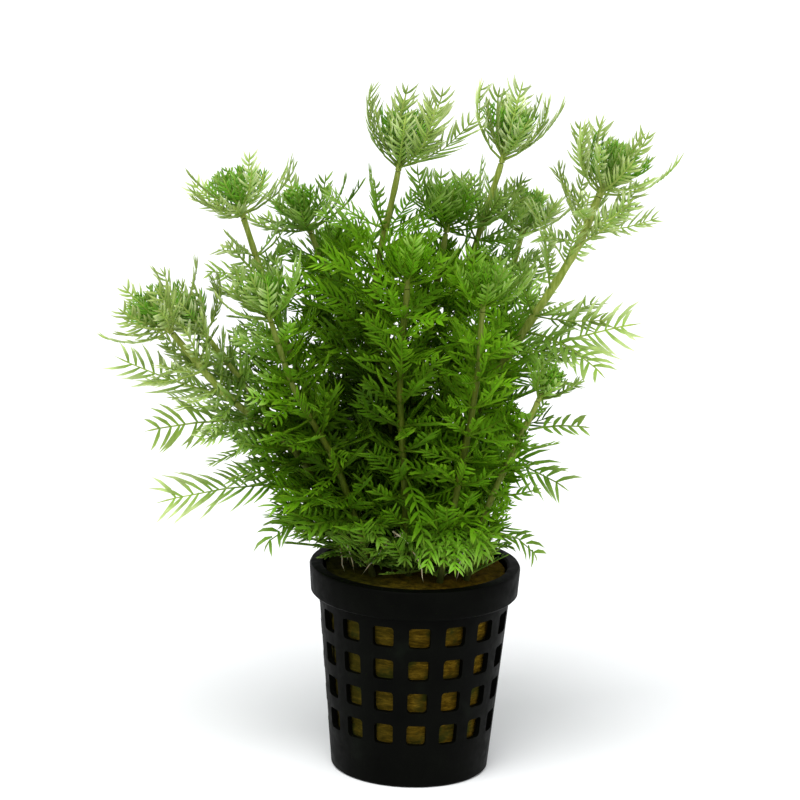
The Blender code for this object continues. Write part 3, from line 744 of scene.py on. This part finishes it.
def stem_sections(shoot, shares, room=0.0):
    """The stem's cross-sections at these shares, this much thicker than the stem."""
    return [
        corners_round(shoot, stem_point(shoot, s), stem_direction(shoot, s), stem_radius(shoot, s) + room)
        for s in shares
    ]


def stations(shoot):
    """The shares where the stem has a cross-section: even ones, and a pair round each ring of leaves."""
    half = RING_HALF_HEIGHT / stem_length(shoot)
    rings = [ring_share(shoot, level) for level in range(len(shoot.rings))]
    even = [s for s in EVEN_STATIONS if all(abs(s - share) > 4 * half for share in rings)]
    return sorted(even + [share - half for share in rings] + [share + half for share in rings])


def stem_chord(shoot, share):
    """The centre and direction of the straight length of stem between two cross-sections."""
    shares = stations(shoot)
    low = max(s for s in shares if s <= share)
    high = min(s for s in shares if s > share)
    a, b = stem_point(shoot, low), stem_point(shoot, high)
    return a.lerp(b, (share - low) / (high - low)), (b - a).normalized()


def crown_axis(shoot):
    """The foot of a crown, a gap past its stem's tip, and the way that it points."""
    along = stem_direction(shoot, 1.0)
    return stem_point(shoot, 1.0) + along * GAP, along


def leaf_at(leaf, share):
    """The midrib's frame at this share: an arc in the plane of the leaf's axis and outward direction.

    The stalk twists until the blade has its whole roll.
    """
    first, last = (math.radians(angle) for angle in leaf.rise)
    bend = last - first
    angle = first + bend * share
    outward = leaf.length * (math.sin(angle) - math.sin(first)) / bend
    upward = leaf.length * (math.cos(first) - math.cos(angle)) / bend
    along = leaf.out * math.cos(angle) + leaf.axis * math.sin(angle)
    twist = math.radians(leaf.roll) * min(share / PETIOLE, 1.0)
    up = Matrix.Rotation(twist, 3, along) @ (leaf.axis * math.cos(angle) - leaf.out * math.sin(angle))
    arch = math.sin(math.pi * (ARCH[0] + (ARCH[1] - ARCH[0]) * share))
    point = leaf.start + leaf.out * outward + leaf.axis * upward
    return Frame(point, along, along.cross(up), up, HALF_WIDTH * leaf.length * arch)


def leaf_frames(leaf, lobes):
    """The frames at a leaf's root, at the ends of its pairs of lobes, and at its tip."""
    blade = 1 - PETIOLE - TERMINAL
    shares = [0.0] + [PETIOLE + blade * i / lobes for i in range(lobes + 1)] + [1.0]
    return [leaf_at(leaf, share) for share in shares]


def lobe_tip(a, b, hand):
    """The tip of the lobe between two frames, on the left (-1) or the right (+1)."""
    out = a.side * hand + a.along * LOBE_LEAN + a.up * LOBE_LIFT
    return (a.point + b.point) / 2 + out * (a.reach + b.reach) / 2


def petiole_faces(frames):
    """The stalk of a leaf as one thin triangle."""
    root, blade = frames[0], frames[1]
    half = root.side * RIB_HALF_WIDTH
    return [(root.point - half, root.point + half, blade.point)]


def blade_faces(frames):
    """The blade of a leaf as flat triangles, one for each lobe and one for its tip."""
    faces = []
    for a, b in zip(frames[1:-2], frames[2:-1]):
        faces += [(a.point, b.point, lobe_tip(a, b, hand)) for hand in (-1, 1)]
    end = frames[-2]
    half = end.side * RIB_HALF_WIDTH
    return faces + [(end.point - half, end.point + half, frames[-1].point)]


def stem_faces(shoot):
    """The sides of a stem, and of the bud on its crown, as triangles."""
    foot, along = crown_axis(shoot)
    bud = corners_round(shoot, foot + along * BUD_TIP, along, stem_radius(shoot, 1.0))
    rings = stem_sections(shoot, stations(shoot)) + [bud]
    faces = []
    for low, high in zip(rings, rings[1:]):
        for k in range(STEM_SIDES):
            n = (k + 1) % STEM_SIDES
            faces += [(low[k], low[n], high[n]), (low[k], high[n], high[k])]
    return faces


class Piece:
    """Something already in place, as flat triangles and as points spread over them."""

    def __init__(self, owner, faces):
        self.owner = owner
        corners = [corner for face in faces for corner in face]
        self.tree = BVHTree.FromPolygons(corners, [(i, i + 1, i + 2) for i in range(0, len(corners), 3)])
        self.points = []
        for a, b, c in faces:
            self.points += [a, b, c, (a + c) / 2, (b + c) / 2, (a + b + c) / 3]
        self.middle = sum(corners, Vector()) / len(corners)
        self.radius = max((corner - self.middle).length for corner in corners)

    def near(self, other, clearance):
        """Whether the other piece crosses this one or comes closer than the clearance."""
        if (self.middle - other.middle).length > self.radius + other.radius + clearance:
            return False
        if self.tree.overlap(other.tree):
            return True
        if any(self.tree.find_nearest(point, clearance)[0] for point in other.points):
            return True
        return any(other.tree.find_nearest(point, clearance)[0] for point in self.points)


def clear_of_pot(points):
    """Whether these points stay off the pot's lip and the wool."""
    for point in points:
        radius = math.hypot(point.x, point.y)
        over_lip = point.z > POT_HEIGHT + POT_CLEARANCE
        outside = radius > RIM_RADIUS + POT_CLEARANCE
        inside = radius < RIM_INNER_RADIUS - POT_CLEARANCE
        over_wool = inside and point.z > WOOL_TOP + WOOL_CROWN + POT_CLEARANCE
        if not (over_lip or outside or over_wool):
            return False
    return True


class Thicket:
    """Everything that has been placed, and the leaves of each stem, crown and single leaf."""

    def __init__(self):
        self.stems = {shoot.name: Piece(shoot.name, stem_faces(shoot)) for shoot in SHOOTS}
        self.placed = []
        self.leaves = defaultdict(list)
        self.draw = random.Random(SEED)

    def has_room(self, owner, carrier, blade, whole):
        """Whether a leaf clears all that stands, apart from the stem that carries it."""
        if not clear_of_pot(blade.points):
            return False
        for name, stem in self.stems.items():
            if stem.near(blade if name == carrier else whole, CLEARANCE):
                return False
        for piece in self.placed:
            if piece.owner == owner and piece.near(blade, OWN_CLEARANCE):
                return False
            if piece.owner != owner and piece.near(whole, CLEARANCE):
                return False
        return True

    def drawn_change(self, most, attempt):
        """A random change to a leaf. Each further attempt departs more from the plan and is shorter."""
        turn, tilt, roll = (limit * self.draw.uniform(-1, 1) for limit in most[:3])
        spread = 1 + MORE_PER_TRY * attempt
        size = 1 - self.draw.uniform(0, most.size) - self.draw.uniform(0, SHORTER_PER_TRY) * attempt
        return Change(turn * spread, tilt * spread, roll, size)

    def place(self, owner, carrier, lobes, most, make_leaf):
        """Tries a leaf with one change after another until it has room, or leaves it out."""
        for attempt in range(TRIES):
            leaf = make_leaf(self.drawn_change(most, attempt))
            frames = leaf_frames(leaf, lobes)
            blade = Piece(owner, blade_faces(frames))
            whole = Piece(owner, petiole_faces(frames) + blade_faces(frames))
            if self.has_room(owner, carrier, blade, whole):
                self.placed.append(whole)
                self.leaves[owner].append(leaf)
                return


def single_leaf(row, change):
    """A single leaf, which starts a gap away from its stem's surface."""
    shoot = next(shoot for shoot in SHOOTS if shoot.name == row.shoot)
    out = level_way(math.radians(row.heading + change.turn))
    centre, along = stem_chord(shoot, row.percent / 100)
    square = (out - along * out.dot(along)).length
    off = (stem_radius(shoot, row.percent / 100) + GAP + RIB_HALF_THICKNESS) / square
    rise = [angle + change.tilt for angle in row.rise]
    length = row.length * MM * change.size
    return Leaf(centre + out * off, UP, out, length, rise, row.roll + change.roll)


def stem_place(shoot, level, k):
    """Where a leaf grows out of a side of the stem: centre, axis, angle and distance."""
    share = ring_share(shoot, level)
    off = stem_radius(shoot, share) * math.cos(math.pi / STEM_SIDES)
    return stem_point(shoot, share), stem_direction(shoot, share), side_angle(shoot, k), off


def crown_place(shoot, level, k):
    """Where a leaf grows out of a side of the crown's column: centre, axis, angle and distance."""
    foot, along = crown_axis(shoot)
    height = (CROWN_LEVELS[level] + CROWN_LEVELS[level + 1]) / 2
    off = stem_radius(shoot, 1.0) * CROWN_TAPER[level] * math.cos(math.pi / STEM_SIDES)
    return foot + along * height, along, side_angle(shoot, k), off


def grown_leaf(place, length, rise, change):
    """A leaf that grows out of the middle of one side of a stem or crown."""
    centre, along, angle, off = place
    start = centre + around(along, angle) * off
    out = around(along, angle + math.radians(change.turn))
    rise = [angle + change.tilt for angle in rise]
    return Leaf(start, along, out, length * change.size, rise, change.roll)


def crown_leaves(thicket, shoot):
    """Places the two rings of leaves of a crown. The upper ring is shorter and steeper."""
    for level, sides in enumerate(CROWN_SIDES):
        length = shoot.leaf_length * MM * CROWN_LENGTHS[level]
        rise = [angle + CROWN_RISES[level] * (90 - angle) for angle in shoot.rise]
        for k in sides:
            make = partial(grown_leaf, crown_place(shoot, level, k), length, rise)
            thicket.place("crown_" + shoot.name, shoot.name, GROWN_LOBES, CROWN_CHANGE, make)


def stem_leaves(thicket, shoot):
    """Places the rings of leaves along a stem. They are shorter further up it."""
    for level in range(len(shoot.rings)):
        length = shoot.leaf_length * MM * (RING_LENGTH - RING_LOSS * ring_share(shoot, level))
        for k in RING_SIDES:
            make = partial(grown_leaf, stem_place(shoot, level, k), length, RING_RISES[k % 2])
            thicket.place("stem_" + shoot.name, shoot.name, GROWN_LOBES, RING_CHANGE, make)


def plan_leaves():
    """Finds a place for every leaf: the single ones first, then the crowns, then the rings on the stems."""
    thicket = Thicket()
    for row in SINGLE_LEAVES:
        make = partial(single_leaf, row)
        thicket.place("leaf_" + row.name, row.shoot, row.lobes, SINGLE_CHANGE, make)
    for shoot in SHOOTS:
        crown_leaves(thicket, shoot)
    for shoot in SHOOTS:
        stem_leaves(thicket, shoot)
    return thicket.leaves


# Fine leaves


def grown(bm, face, corners):
    """A new length drawn out of a face, whose end has these corners."""
    end = bmesh.ops.extrude_discrete_faces(bm, faces=[face])["faces"][0]
    for vert, corner in zip(end.verts, corners):
        vert.co = corner
    return end


def drawn_through(bm, sections, tip):
    """A closed tapering length through these cross-sections to a pointed tip. Returns its points in rows."""
    face = bm.faces.new([bm.verts.new(corner) for corner in sections[0]])
    rows = [list(face.verts)]
    for corners in sections[1:]:
        face = grown(bm, face, corners)
        rows.append(list(face.verts))
    point = bmesh.ops.poke(bm, faces=[face])["verts"][0]
    point.co = tip
    return rows + [[point]]


def blade_section(point, across, up, width, thickness):
    """The four corners of a leaflet's section: a shallow gutter with a keel below."""
    lift = up * width * LEAFLET_FOLD
    half = across * width / 2
    return [point - half + lift, point - up * thickness / 2, point + half + lift, point + up * thickness / 2]


def leaflet_point(base, hand, sideways, ahead, share):
    """A point along a leaflet, which leaves the midrib steeply and then bends towards the leaf's tip."""
    out = sideways * ((1 + LEAFLET_BEND) * share - LEAFLET_BEND * share * share)
    along = ahead * ((1 - LEAFLET_BEND) * share + LEAFLET_BEND * share * share)
    return Vector((base + along, hand * out, out * LOBE_LIFT))


def midrib(bm, unit):
    """The midrib of a leaf of length 1, running out into its last narrow leaflet."""
    sections = []
    for station, share in zip(MIDRIB_STATIONS, MIDRIB_WIDTHS):
        half = Vector((0, share * MIDRIB_WIDTH * unit / 2, 0))
        deep = Vector((0, 0, share * MIDRIB_THICKNESS * unit / 2))
        centre = Vector((station, 0, 0))
        sections.append([centre - half, centre - deep, centre + half, centre + deep])
    drawn_through(bm, sections, Vector((1, 0, 0)))


def leaflet(bm, points, width, thickness):
    """A narrow leaflet through these points. Returns its vertices in rows."""
    sections = []
    for a, b, share in zip(points, points[1:], LEAFLET_WIDTHS):
        ahead = (b - a).normalized()
        across = ahead.cross(UP).normalized()
        sections.append(blade_section(a, across, across.cross(ahead), width * share, thickness))
    return drawn_through(bm, sections, points[-1])


def fine_leaf(kind, pairs, seed):
    """A leaf of length 1 along +X with leaflets in uneven pairs, as a mesh to be bent and placed."""
    draw = random.Random(seed)
    unit = kind.pairs_per_mm / pairs / MM
    bm = bmesh.new()
    reach_of = bm.verts.layers.float.new("reach")
    midrib(bm, unit)
    stations = LEAFLET_STATIONS + (1.0,)
    for pair in range(pairs):
        for hand in (-1, 1):
            place = pair + LEAFLET_OFFSET + draw.uniform(-LEAFLET_SHIFT, LEAFLET_SHIFT)
            base = PETIOLE + (LEAFLETS_END - PETIOLE) * place / pairs
            arch = math.sin(math.pi * (ARCH[0] + (ARCH[1] - ARCH[0]) * base))
            sideways = kind.sideways * arch * draw.uniform(*SIDEWAYS_RANGE)
            ahead = min(kind.ahead * arch * draw.uniform(*AHEAD_RANGE), FURTHEST_TIP - base)
            points = [leaflet_point(base, hand, sideways, ahead, t) for t in stations]
            rows = leaflet(bm, points, kind.width * unit, LEAFLET_THICKNESS * unit)
            for row, reach in zip(rows, stations):
                for vert in row:
                    vert[reach_of] = max(reach, LEAST_REACH)
    close_up(bm, slot=1)
    return as_mesh(bm, "leaf pattern")


class Foliage:
    """The patterns that all leaves are grown from, and a draw for their small differences."""

    def __init__(self):
        self.patterns = {}
        self.draw = random.Random(SEED)

    def pattern(self, length, kind):
        """A pattern with as many leaflets as a leaf of this length has."""
        pairs = min(max(round(length / MM * kind.pairs_per_mm), PAIR_COUNTS[0]), PAIR_COUNTS[-1])
        key = (kind, pairs, self.draw.randrange(VARIANTS))
        if key not in self.patterns:
            self.patterns[key] = fine_leaf(kind, pairs, str(key))
        return self.patterns[key]

    def grow(self, bm, leaf, kind, youth, sway=SWAY):
        """Bends a pattern along a leaf's arc, with a little sway and twist of its own."""
        mesh = self.pattern(leaf.length, kind)
        first = len(bm.verts)
        bm.from_mesh(mesh)
        bm.verts.ensure_lookup_table()
        youth_of, tint_of = bm.verts.layers.float["youth"], bm.verts.layers.float["tint"]
        youth = min(max(youth + self.draw.uniform(-YOUTH_CHANGE, YOUTH_CHANGE), 0.0), 1.0)
        tint = self.draw.random()
        sway = self.draw.uniform(-sway, sway)
        twist = self.draw.uniform(-TWIST, TWIST)
        for vert in bm.verts[first:]:
            x, y, z = vert.co
            frame = leaf_at(leaf, x)
            turn = twist * x
            y, z = y * math.cos(turn) - z * math.sin(turn), y * math.sin(turn) + z * math.cos(turn)
            y += sway * x * x
            vert.co = frame.point - frame.side * (y * leaf.length) + frame.up * (z * leaf.length)
            vert[youth_of] = youth
            vert[tint_of] = tint


def new_growth():
    """An empty mesh that holds what the leaf surface reads."""
    bm = bmesh.new()
    for name in ("reach", "youth", "tint"):
        bm.verts.layers.float.new(name)
    return bm


def whorl_step(shoot, share):
    """The distance between whorls as a share of the stem: they stand closer near its foot."""
    low, high = WHORL_STEPS
    return (low + (high - low) * min(share * WHORL_WIDENING, 1.0)) / stem_length(shoot)


def crowding(point):
    """How deep in the plant's core a point is: 1 in it and 0 clear of it."""
    away = point - CORE
    distance = Vector([away[axis] / CORE_SIZE[axis] for axis in range(3)]).length
    return 1 - min(max((distance - CROWD_EDGE[0]) / (CROWD_EDGE[1] - CROWD_EDGE[0]), 0.0), 1.0)


def between_rings(shoot, draw):
    """The leaves that stand in whorls along a stem between the planned rings, fewer outside the core."""
    rings = [ring_share(shoot, level) for level in range(len(shoot.rings))]
    share, turn = WHORL_SHARES[0], 0.0
    leaves = []
    while share < WHORL_SHARES[1]:
        step = whorl_step(shoot, share)
        if all(abs(share - ring) > RING_ROOM * step for ring in rings):
            crowd = crowding(stem_point(shoot, share))
            count = round(WHORL_LEAVES[1] + (WHORL_LEAVES[0] - WHORL_LEAVES[1]) * crowd)
            count += BUSHY.get(shoot.name, 0)
            turn += math.tau / count / 2
            shifts = [draw.uniform(-WHORL_SHIFT, WHORL_SHIFT) for _ in range(count)]
            angles = [turn + math.tau * (k + shift) / count for k, shift in enumerate(shifts)]
            leaves += [whorl_leaf(shoot, share, angle, draw) for angle in angles]
        share += step * draw.uniform(*WHORL_STEP_RANGE)
    return [leaf for leaf in leaves if leaf]


def has_air(leaf):
    """Whether a leaf clears the pot, keeps out of the places that stay bare, and is inside the CAD box."""
    frames = leaf_frames(leaf, GROWN_LOBES)
    points = [corner for face in blade_faces(frames) for corner in face]
    low, high = CAD_BOX
    for point in points:
        over_lip = math.hypot(point.x, point.y) > RIM_INNER_RADIUS - MM
        if over_lip and point.y < FRONT_LIP and point.z < POT_HEIGHT + OVER_POT:
            return False
        if point.x > BARE_WOOL[0] and point.y < BARE_WOOL[1] and point.z < BARE_WOOL[2]:
            return False
        if any(not low[axis] < point[axis] < high[axis] for axis in range(3)):
            return False
    tip = frames[-1].point / MM
    if any(left < tip.x < right and bottom < tip.z < top for left, right, bottom, top in OPEN_AIR):
        return False
    return clear_of_pot(points)


def with_air(leaf):
    """The leaf, lifted or shortened until it has air round it, or none."""
    for lift, size in AIR_TRIES:
        rise = [angle + lift for angle in leaf.rise]
        tried = leaf._replace(length=leaf.length * size, rise=rise)
        if has_air(tried):
            return tried
    return None


def whorl_leaf(shoot, share, angle, draw):
    """One leaf of a whorl, or none."""
    centre, along = stem_point(shoot, share), stem_direction(shoot, share)
    out = around(along, angle)
    length = shoot.leaf_length * MM * (RING_LENGTH - RING_LOSS * share) * draw.uniform(*WHORL_SIZES)
    first = draw.uniform(*WHORL_RISES)
    last = first + draw.uniform(*WHORL_CURL)
    roll = draw.uniform(-WHORL_ROLL, WHORL_ROLL)
    start = centre + out * stem_radius(shoot, share) * WHORL_FOOT
    return with_air(Leaf(start, along, out, length, (first, last), roll))


def low_leaves(shoot, draw):
    """The short leaves round the foot of a stem."""
    leaves = []
    for k in range(LOW_LEAVES):
        is_flat = k < FLAT_LEAVES
        share = FLAT_SHARE if is_flat else draw.uniform(*LOW_SHARES)
        out = around(UP, k * GOLDEN_TURN + draw.uniform(-LOW_TURN, LOW_TURN))
        length = draw.uniform(*LOW_LENGTHS)
        first = draw.uniform(*(FLAT_RISES if is_flat else LOW_RISES))
        last = first + draw.uniform(*(FLAT_CURL if is_flat else LOW_CURL))
        roll = draw.uniform(-WHORL_ROLL, WHORL_ROLL) * (FLAT_ROLL if is_flat else 1.0)
        start = stem_point(shoot, share) + out * stem_radius(shoot, share) * LOW_FOOT
        leaves.append(with_air(Leaf(start, UP, out, length, (first, last), roll)))
    return [leaf for leaf in leaves if leaf]


def fan_leaf(shoot, heading, length):
    """One leaf of the fan at the front, which hangs to just above the wool."""
    out = level_way(math.radians(heading))
    start = stem_point(shoot, FAN_SHARE) + out * stem_radius(shoot, FAN_SHARE) * LOW_FOOT
    return Leaf(start, UP, out, length * MM, FAN_RISE, 0)


def stem_rings(shoot):
    """The rings of corners of a round stem, thicker at its nodes, from inside the wool to its tip."""
    length = stem_length(shoot)
    count = max(int(length / STEM_RING_STEP), LEAST_RINGS)
    rings = []
    for i in range(count + 1):
        share = i / count
        centre, along = stem_point(shoot, share), stem_direction(shoot, share)
        node = math.cos(math.tau * share * length / WHORL_STEPS[1]) ** NODE_SHARPNESS
        radius = stem_radius(shoot, share) * (STEM_SLIMNESS + NODE_SWELLING * node)
        rings.append(corners_round(shoot, centre, along, radius, FINENESS))
    return rings


def stem_piece(shoot, leaves, foliage, surfaces):
    """A stem with its planned rings of leaves, the whorls between them and the low leaves at its foot."""
    bm = new_growth()
    drawn_through(bm, stem_rings(shoot), crown_axis(shoot)[0])
    close_up(bm)
    for leaf in leaves + between_rings(shoot, foliage.draw):
        height = (leaf.start - stem_point(shoot, 0)).length / stem_length(shoot)
        kind = FULL if height > FULL_HEIGHT else OLD
        foliage.grow(bm, leaf, kind, STEM_YOUTH[0] + STEM_YOUTH[1] * height)
    for leaf in low_leaves(shoot, foliage.draw):
        foliage.grow(bm, leaf, FULL, LOW_YOUTH)
    if shoot.name == FAN_SHOOT:
        for heading, length in FAN:
            foliage.grow(bm, fan_leaf(shoot, heading, length), FULL, FAN_YOUTH)
    return add_object(bm, "leafy_stem_" + shoot.name, surfaces)


def heart_leaf(shoot, k, draw):
    """One of the young leaves in a crown, shorter and steeper towards the bud."""
    foot, along = crown_axis(shoot)
    share = k / (HEART_LEAVES - 1)
    out = around(along, k * GOLDEN_TURN + draw.uniform(-HEART_TURN, HEART_TURN))
    size = HEART_LENGTHS[0] + (HEART_LENGTHS[1] - HEART_LENGTHS[0]) * share ** HEART_FALL
    low, high = shoot.rise
    first = low + (HEART_RISE - low) * share + draw.uniform(-HEART_TILT, HEART_TILT)
    curl = (high - low) * (1 - share) * draw.uniform(*HEART_CURL) + LEAST_CURL
    height = HEART_HEIGHTS[0] + HEART_HEIGHTS[1] * share
    start = foot + along * height * MM + out * stem_radius(shoot, 1.0) * HEART_FOOT
    roll = draw.uniform(-HEART_ROLL, HEART_ROLL)
    return Leaf(start, along, out, shoot.leaf_length * MM * size, (first, first + curl), roll)


def crown_piece(shoot, leaves, foliage, surfaces):
    """A crown: its column and bud, the long leaves, and the young leaves packed in its heart."""
    bm = new_growth()
    foot, along = crown_axis(shoot)
    radius = stem_radius(shoot, 1.0)
    rings = [corners_round(shoot, foot + along * z, along, radius * r, FINENESS) for z, r in CROWN_COLUMN]
    drawn_through(bm, rings, foot + along * BUD_TIP)
    close_up(bm)
    for leaf in leaves:
        foliage.grow(bm, leaf, FULL, LONG_YOUTH)
    for k in range(HEART_LEAVES):
        leaf = heart_leaf(shoot, k, foliage.draw)
        if has_air(leaf):
            foliage.grow(bm, leaf, *((FULL, LONG_YOUTH) if k < HEART_LONG else (YOUNG, HEART_YOUTH)))
    return add_object(bm, "leafy_crown_" + shoot.name, surfaces)


def leaf_piece(row, leaf, foliage, surfaces):
    """A large single leaf, whose stalk reaches its stem."""
    bm = new_growth()
    foliage.grow(bm, leaf, LARGE, LARGE_YOUTH, sway=LARGE_SWAY)
    return add_object(bm, "feather_" + row.name, surfaces)


# The pot and the wool


def body_radius(height):
    """The pot's outer radius under its lip, at this height."""
    return BASE_RADIUS + (BODY_TOP_RADIUS - BASE_RADIUS) * height / (POT_HEIGHT - RIM_HEIGHT)


def window_rows():
    """The lower and upper edge of each row of windows, from the lowest up."""
    lows = [LOWEST_WINDOW + row * WINDOW_PITCH for row in range(WINDOW_ROWS)]
    return [(low, low + WINDOW_HEIGHT) for low in lows]


def pot_profile():
    """The pot's section as (radius, height) points: along the base, up, over the lip and down inside."""
    levels = [height for row in window_rows() for height in row]
    under_lip = POT_HEIGHT - RIM_HEIGHT
    base = [(0, 0), (BASE_RADIUS - POT_EDGE, 0), (BASE_RADIUS + BASE_SWELL, POT_EDGE)]
    outer = [(body_radius(z), z) for z in levels]
    lip = [
        (BODY_TOP_RADIUS, under_lip),
        (RIM_RADIUS - RIM_TAPER - POT_EDGE, under_lip + RIM_DROP),
        (RIM_RADIUS - RIM_TAPER, under_lip + POT_EDGE + RIM_DROP),
    ]
    top = [(RIM_RADIUS - further_in, POT_HEIGHT - lower) for further_in, lower in RIM_STEPS]
    top += [(RIM_INNER_RADIUS + POT_EDGE, POT_HEIGHT), (RIM_INNER_RADIUS, POT_HEIGHT - POT_EDGE)]
    inner = [(body_radius(z) - WALL, z) for z in reversed(levels)]
    floor = [(body_radius(FLOOR) - WALL, FLOOR), (0, FLOOR)]
    return base + outer + lip + top + inner + floor


def window_of(face):
    """The (row, column) of the window that this panel of the pot's wall covers, or None."""
    middle = face.calc_center_median()
    turn = math.atan2(middle.y, middle.x) + math.pi / 2 - FRONT_WINDOW_TURN
    column = turn * WINDOW_COLUMNS / math.tau
    half = WINDOW_ANGLE * WINDOW_COLUMNS / math.tau / 2
    is_bar = abs(column - round(column)) > half
    for row, (low, high) in enumerate(window_rows()):
        if low < middle.z < high and not is_bar:
            return row, round(column) % WINDOW_COLUMNS
    return None


def turnable(bm, profile):
    """A profile of (radius, height) points as vertices and edges, ready to be turned round the Z axis."""
    points = [bm.verts.new((radius, 0, height)) for radius, height in profile]
    return points + [bm.edges.new(pair) for pair in zip(points, points[1:])]


def outline(faces):
    """The edges round a patch of faces."""
    inside = set(faces)
    edges = [edge for face in faces for edge in face.edges]
    return [edge for edge in edges if any(face not in inside for face in edge.link_faces)]


def pot_piece(surface):
    """The pot turned in fine steps, with its windows opened and their corners and rims rounded."""
    bm = bmesh.new()
    sweep = turnable(bm, pot_profile())
    start = FRONT_WINDOW_TURN - math.pi / 2 - WINDOW_ANGLE / 2
    bmesh.ops.rotate(bm, verts=bm.verts, matrix=Matrix.Rotation(start, 3, "Z"))
    bar_angle = math.tau / WINDOW_COLUMNS - WINDOW_ANGLE
    for _ in range(WINDOW_COLUMNS):
        for angle, steps in ((WINDOW_ANGLE, WINDOW_STEPS), (bar_angle, BAR_STEPS)):
            sweep = bmesh.ops.spin(bm, geom=sweep, axis=UP, angle=angle, steps=steps)["geom_last"]
    bmesh.ops.remove_doubles(bm, verts=bm.verts, dist=SEAM)
    bmesh.ops.recalc_face_normals(bm, faces=bm.faces)
    panels = defaultdict(list)
    for face in bm.faces:
        panels[window_of(face)].append(face)
    panels.pop(None)
    rims = set()
    for panel in panels.values():
        edges = outline(panel)
        bmesh.ops.delete(bm, geom=panel, context="FACES_ONLY")
        rims.update(bmesh.ops.bridge_loops(bm, edges=edges)["faces"])
    loose = [edge for edge in bm.edges if not edge.link_faces]
    bmesh.ops.delete(bm, geom=loose, context="EDGES")
    bmesh.ops.delete(bm, geom=[vert for vert in bm.verts if not vert.link_faces], context="VERTS")
    corners = [
        edge
        for edge in bm.edges
        if all(face in rims for face in edge.link_faces) and edge.calc_face_angle(0) > CORNER_ANGLE
    ]
    bmesh.ops.bevel(
        bm,
        geom=corners,
        offset=WINDOW_CORNER,
        segments=CORNER_STEPS,
        profile=0.5,
        affect="EDGES",
        material=-1,
    )
    return add_object(bm, "net_pot_finished", [surface], crease=POT_CREASE)


def root(bm, shoot, draw):
    """A thin root that leaves the foot of a stem, arches over and ends on the wool."""
    start = stem_point(shoot, draw.uniform(*ROOT_STARTS))
    out = level_way(draw.uniform(0, math.tau))
    end = start + out * draw.uniform(*ROOT_LENGTHS) * MM
    end.z = WOOL_TOP + ROOT_LIFT
    if math.hypot(end.x, end.y) > WOOL_TOP_RADIUS - ROOT_MARGIN:
        return
    top = start + out * draw.uniform(*ROOT_ARCHES) * MM
    top += Vector((0, 0, draw.uniform(*ROOT_RISES) * MM))
    arched(bm, shoot, start, top, end, draw)


def arched(bm, shoot, start, top, end, draw):
    """A thin uneven root from its start to its end, drawn up towards its top."""
    points = []
    for i in range(ROOT_STEPS + 1):
        t = i / ROOT_STEPS
        wave = Vector((draw.uniform(-1, 1), draw.uniform(-1, 1), 0)) * ROOT_WAVE
        points.append(start * (1 - t) ** 2 + top * 2 * t * (1 - t) + end * t * t + wave)
    rings = []
    for i, (a, b) in enumerate(zip(points, points[1:])):
        radius = ROOT_RADIUS * (1 - ROOT_TAPER * i / ROOT_STEPS)
        rings.append(corners_round(shoot, a, (b - a).normalized(), radius))
    drawn_through(bm, rings, points[-1])


def roots_on(bm):
    """Adds roots from every stem to the wool, in its second surface."""
    made = bmesh.new()
    draw = random.Random(SEED)
    for shoot in SHOOTS:
        for _ in range(ROOTS_PER_STEM):
            root(made, shoot, draw)
    arched(made, SHOOTS[0], *(Vector(point) * MM for point in FRONT_ROOT), draw)
    close_up(made, slot=1)
    mesh = as_mesh(made, "roots")
    bm.from_mesh(mesh)
    bpy.data.meshes.remove(mesh)


def wool_piece(surfaces):
    """The plug of wool: a fine turned skin, pushed in and out in flat layers as torn fibres lie."""
    bm = bmesh.new()
    low = FLOOR + GAP
    profile = [(0, low), (WOOL_BASE_RADIUS, low)]
    for row in range(1, WOOL_ROWS + 1):
        share = row / WOOL_ROWS
        radius = WOOL_BASE_RADIUS + (WOOL_TOP_RADIUS - WOOL_BASE_RADIUS) * share
        profile.append((radius, low + (WOOL_TOP - low) * share))
    for ring in range(1, WOOL_TOP_RINGS + 1):
        share = ring / WOOL_TOP_RINGS
        height = WOOL_TOP + WOOL_CROWN * math.sin(share * math.pi / 2)
        profile.append((WOOL_TOP_RADIUS * (1 - share), height))
    sweep = turnable(bm, profile)
    bmesh.ops.spin(bm, geom=sweep, axis=UP, angle=math.tau, steps=WOOL_SIDES, use_merge=True)
    bmesh.ops.remove_doubles(bm, verts=bm.verts, dist=SEAM)
    bmesh.ops.recalc_face_normals(bm, faces=bm.faces)
    for vert in bm.verts:
        if vert.co.z > low + MM:
            x, y, z = vert.co
            layered = Vector((x, y, z * WOOL_LAYERING))
            depth = noise.fractal(layered / WOOL_GRAIN, *WOOL_FRACTAL) * WOOL_ROUGHNESS
            out = Vector((x, y, 0)).normalized() if z < WOOL_TOP else UP
            vert.co += out * depth
    roots_on(bm)
    return add_object(bm, "rockwool_finished", surfaces, crease=WOOL_CREASE)


def build():
    """The whole potted plant in its light."""
    add_camera()
    add_studio()
    green = [stem_green(), leaf_green()]
    stands_for(pot_piece(black_plastic()), "net_pot")
    stands_for(wool_piece([ochre_wool(), root_cream()]), "rockwool_plug")
    leaves = plan_leaves()
    foliage = Foliage()
    for shoot in SHOOTS:
        stem, crown = "stem_" + shoot.name, "crown_" + shoot.name
        stands_for(stem_piece(shoot, leaves[stem], foliage, green), stem)
        stands_for(crown_piece(shoot, leaves[crown], foliage, green), crown)
    for row in SINGLE_LEAVES:
        name = "leaf_" + row.name
        stands_for(leaf_piece(row, leaves[name][0], foliage, green), name)
    for mesh in foliage.patterns.values():
        bpy.data.meshes.remove(mesh)


build()
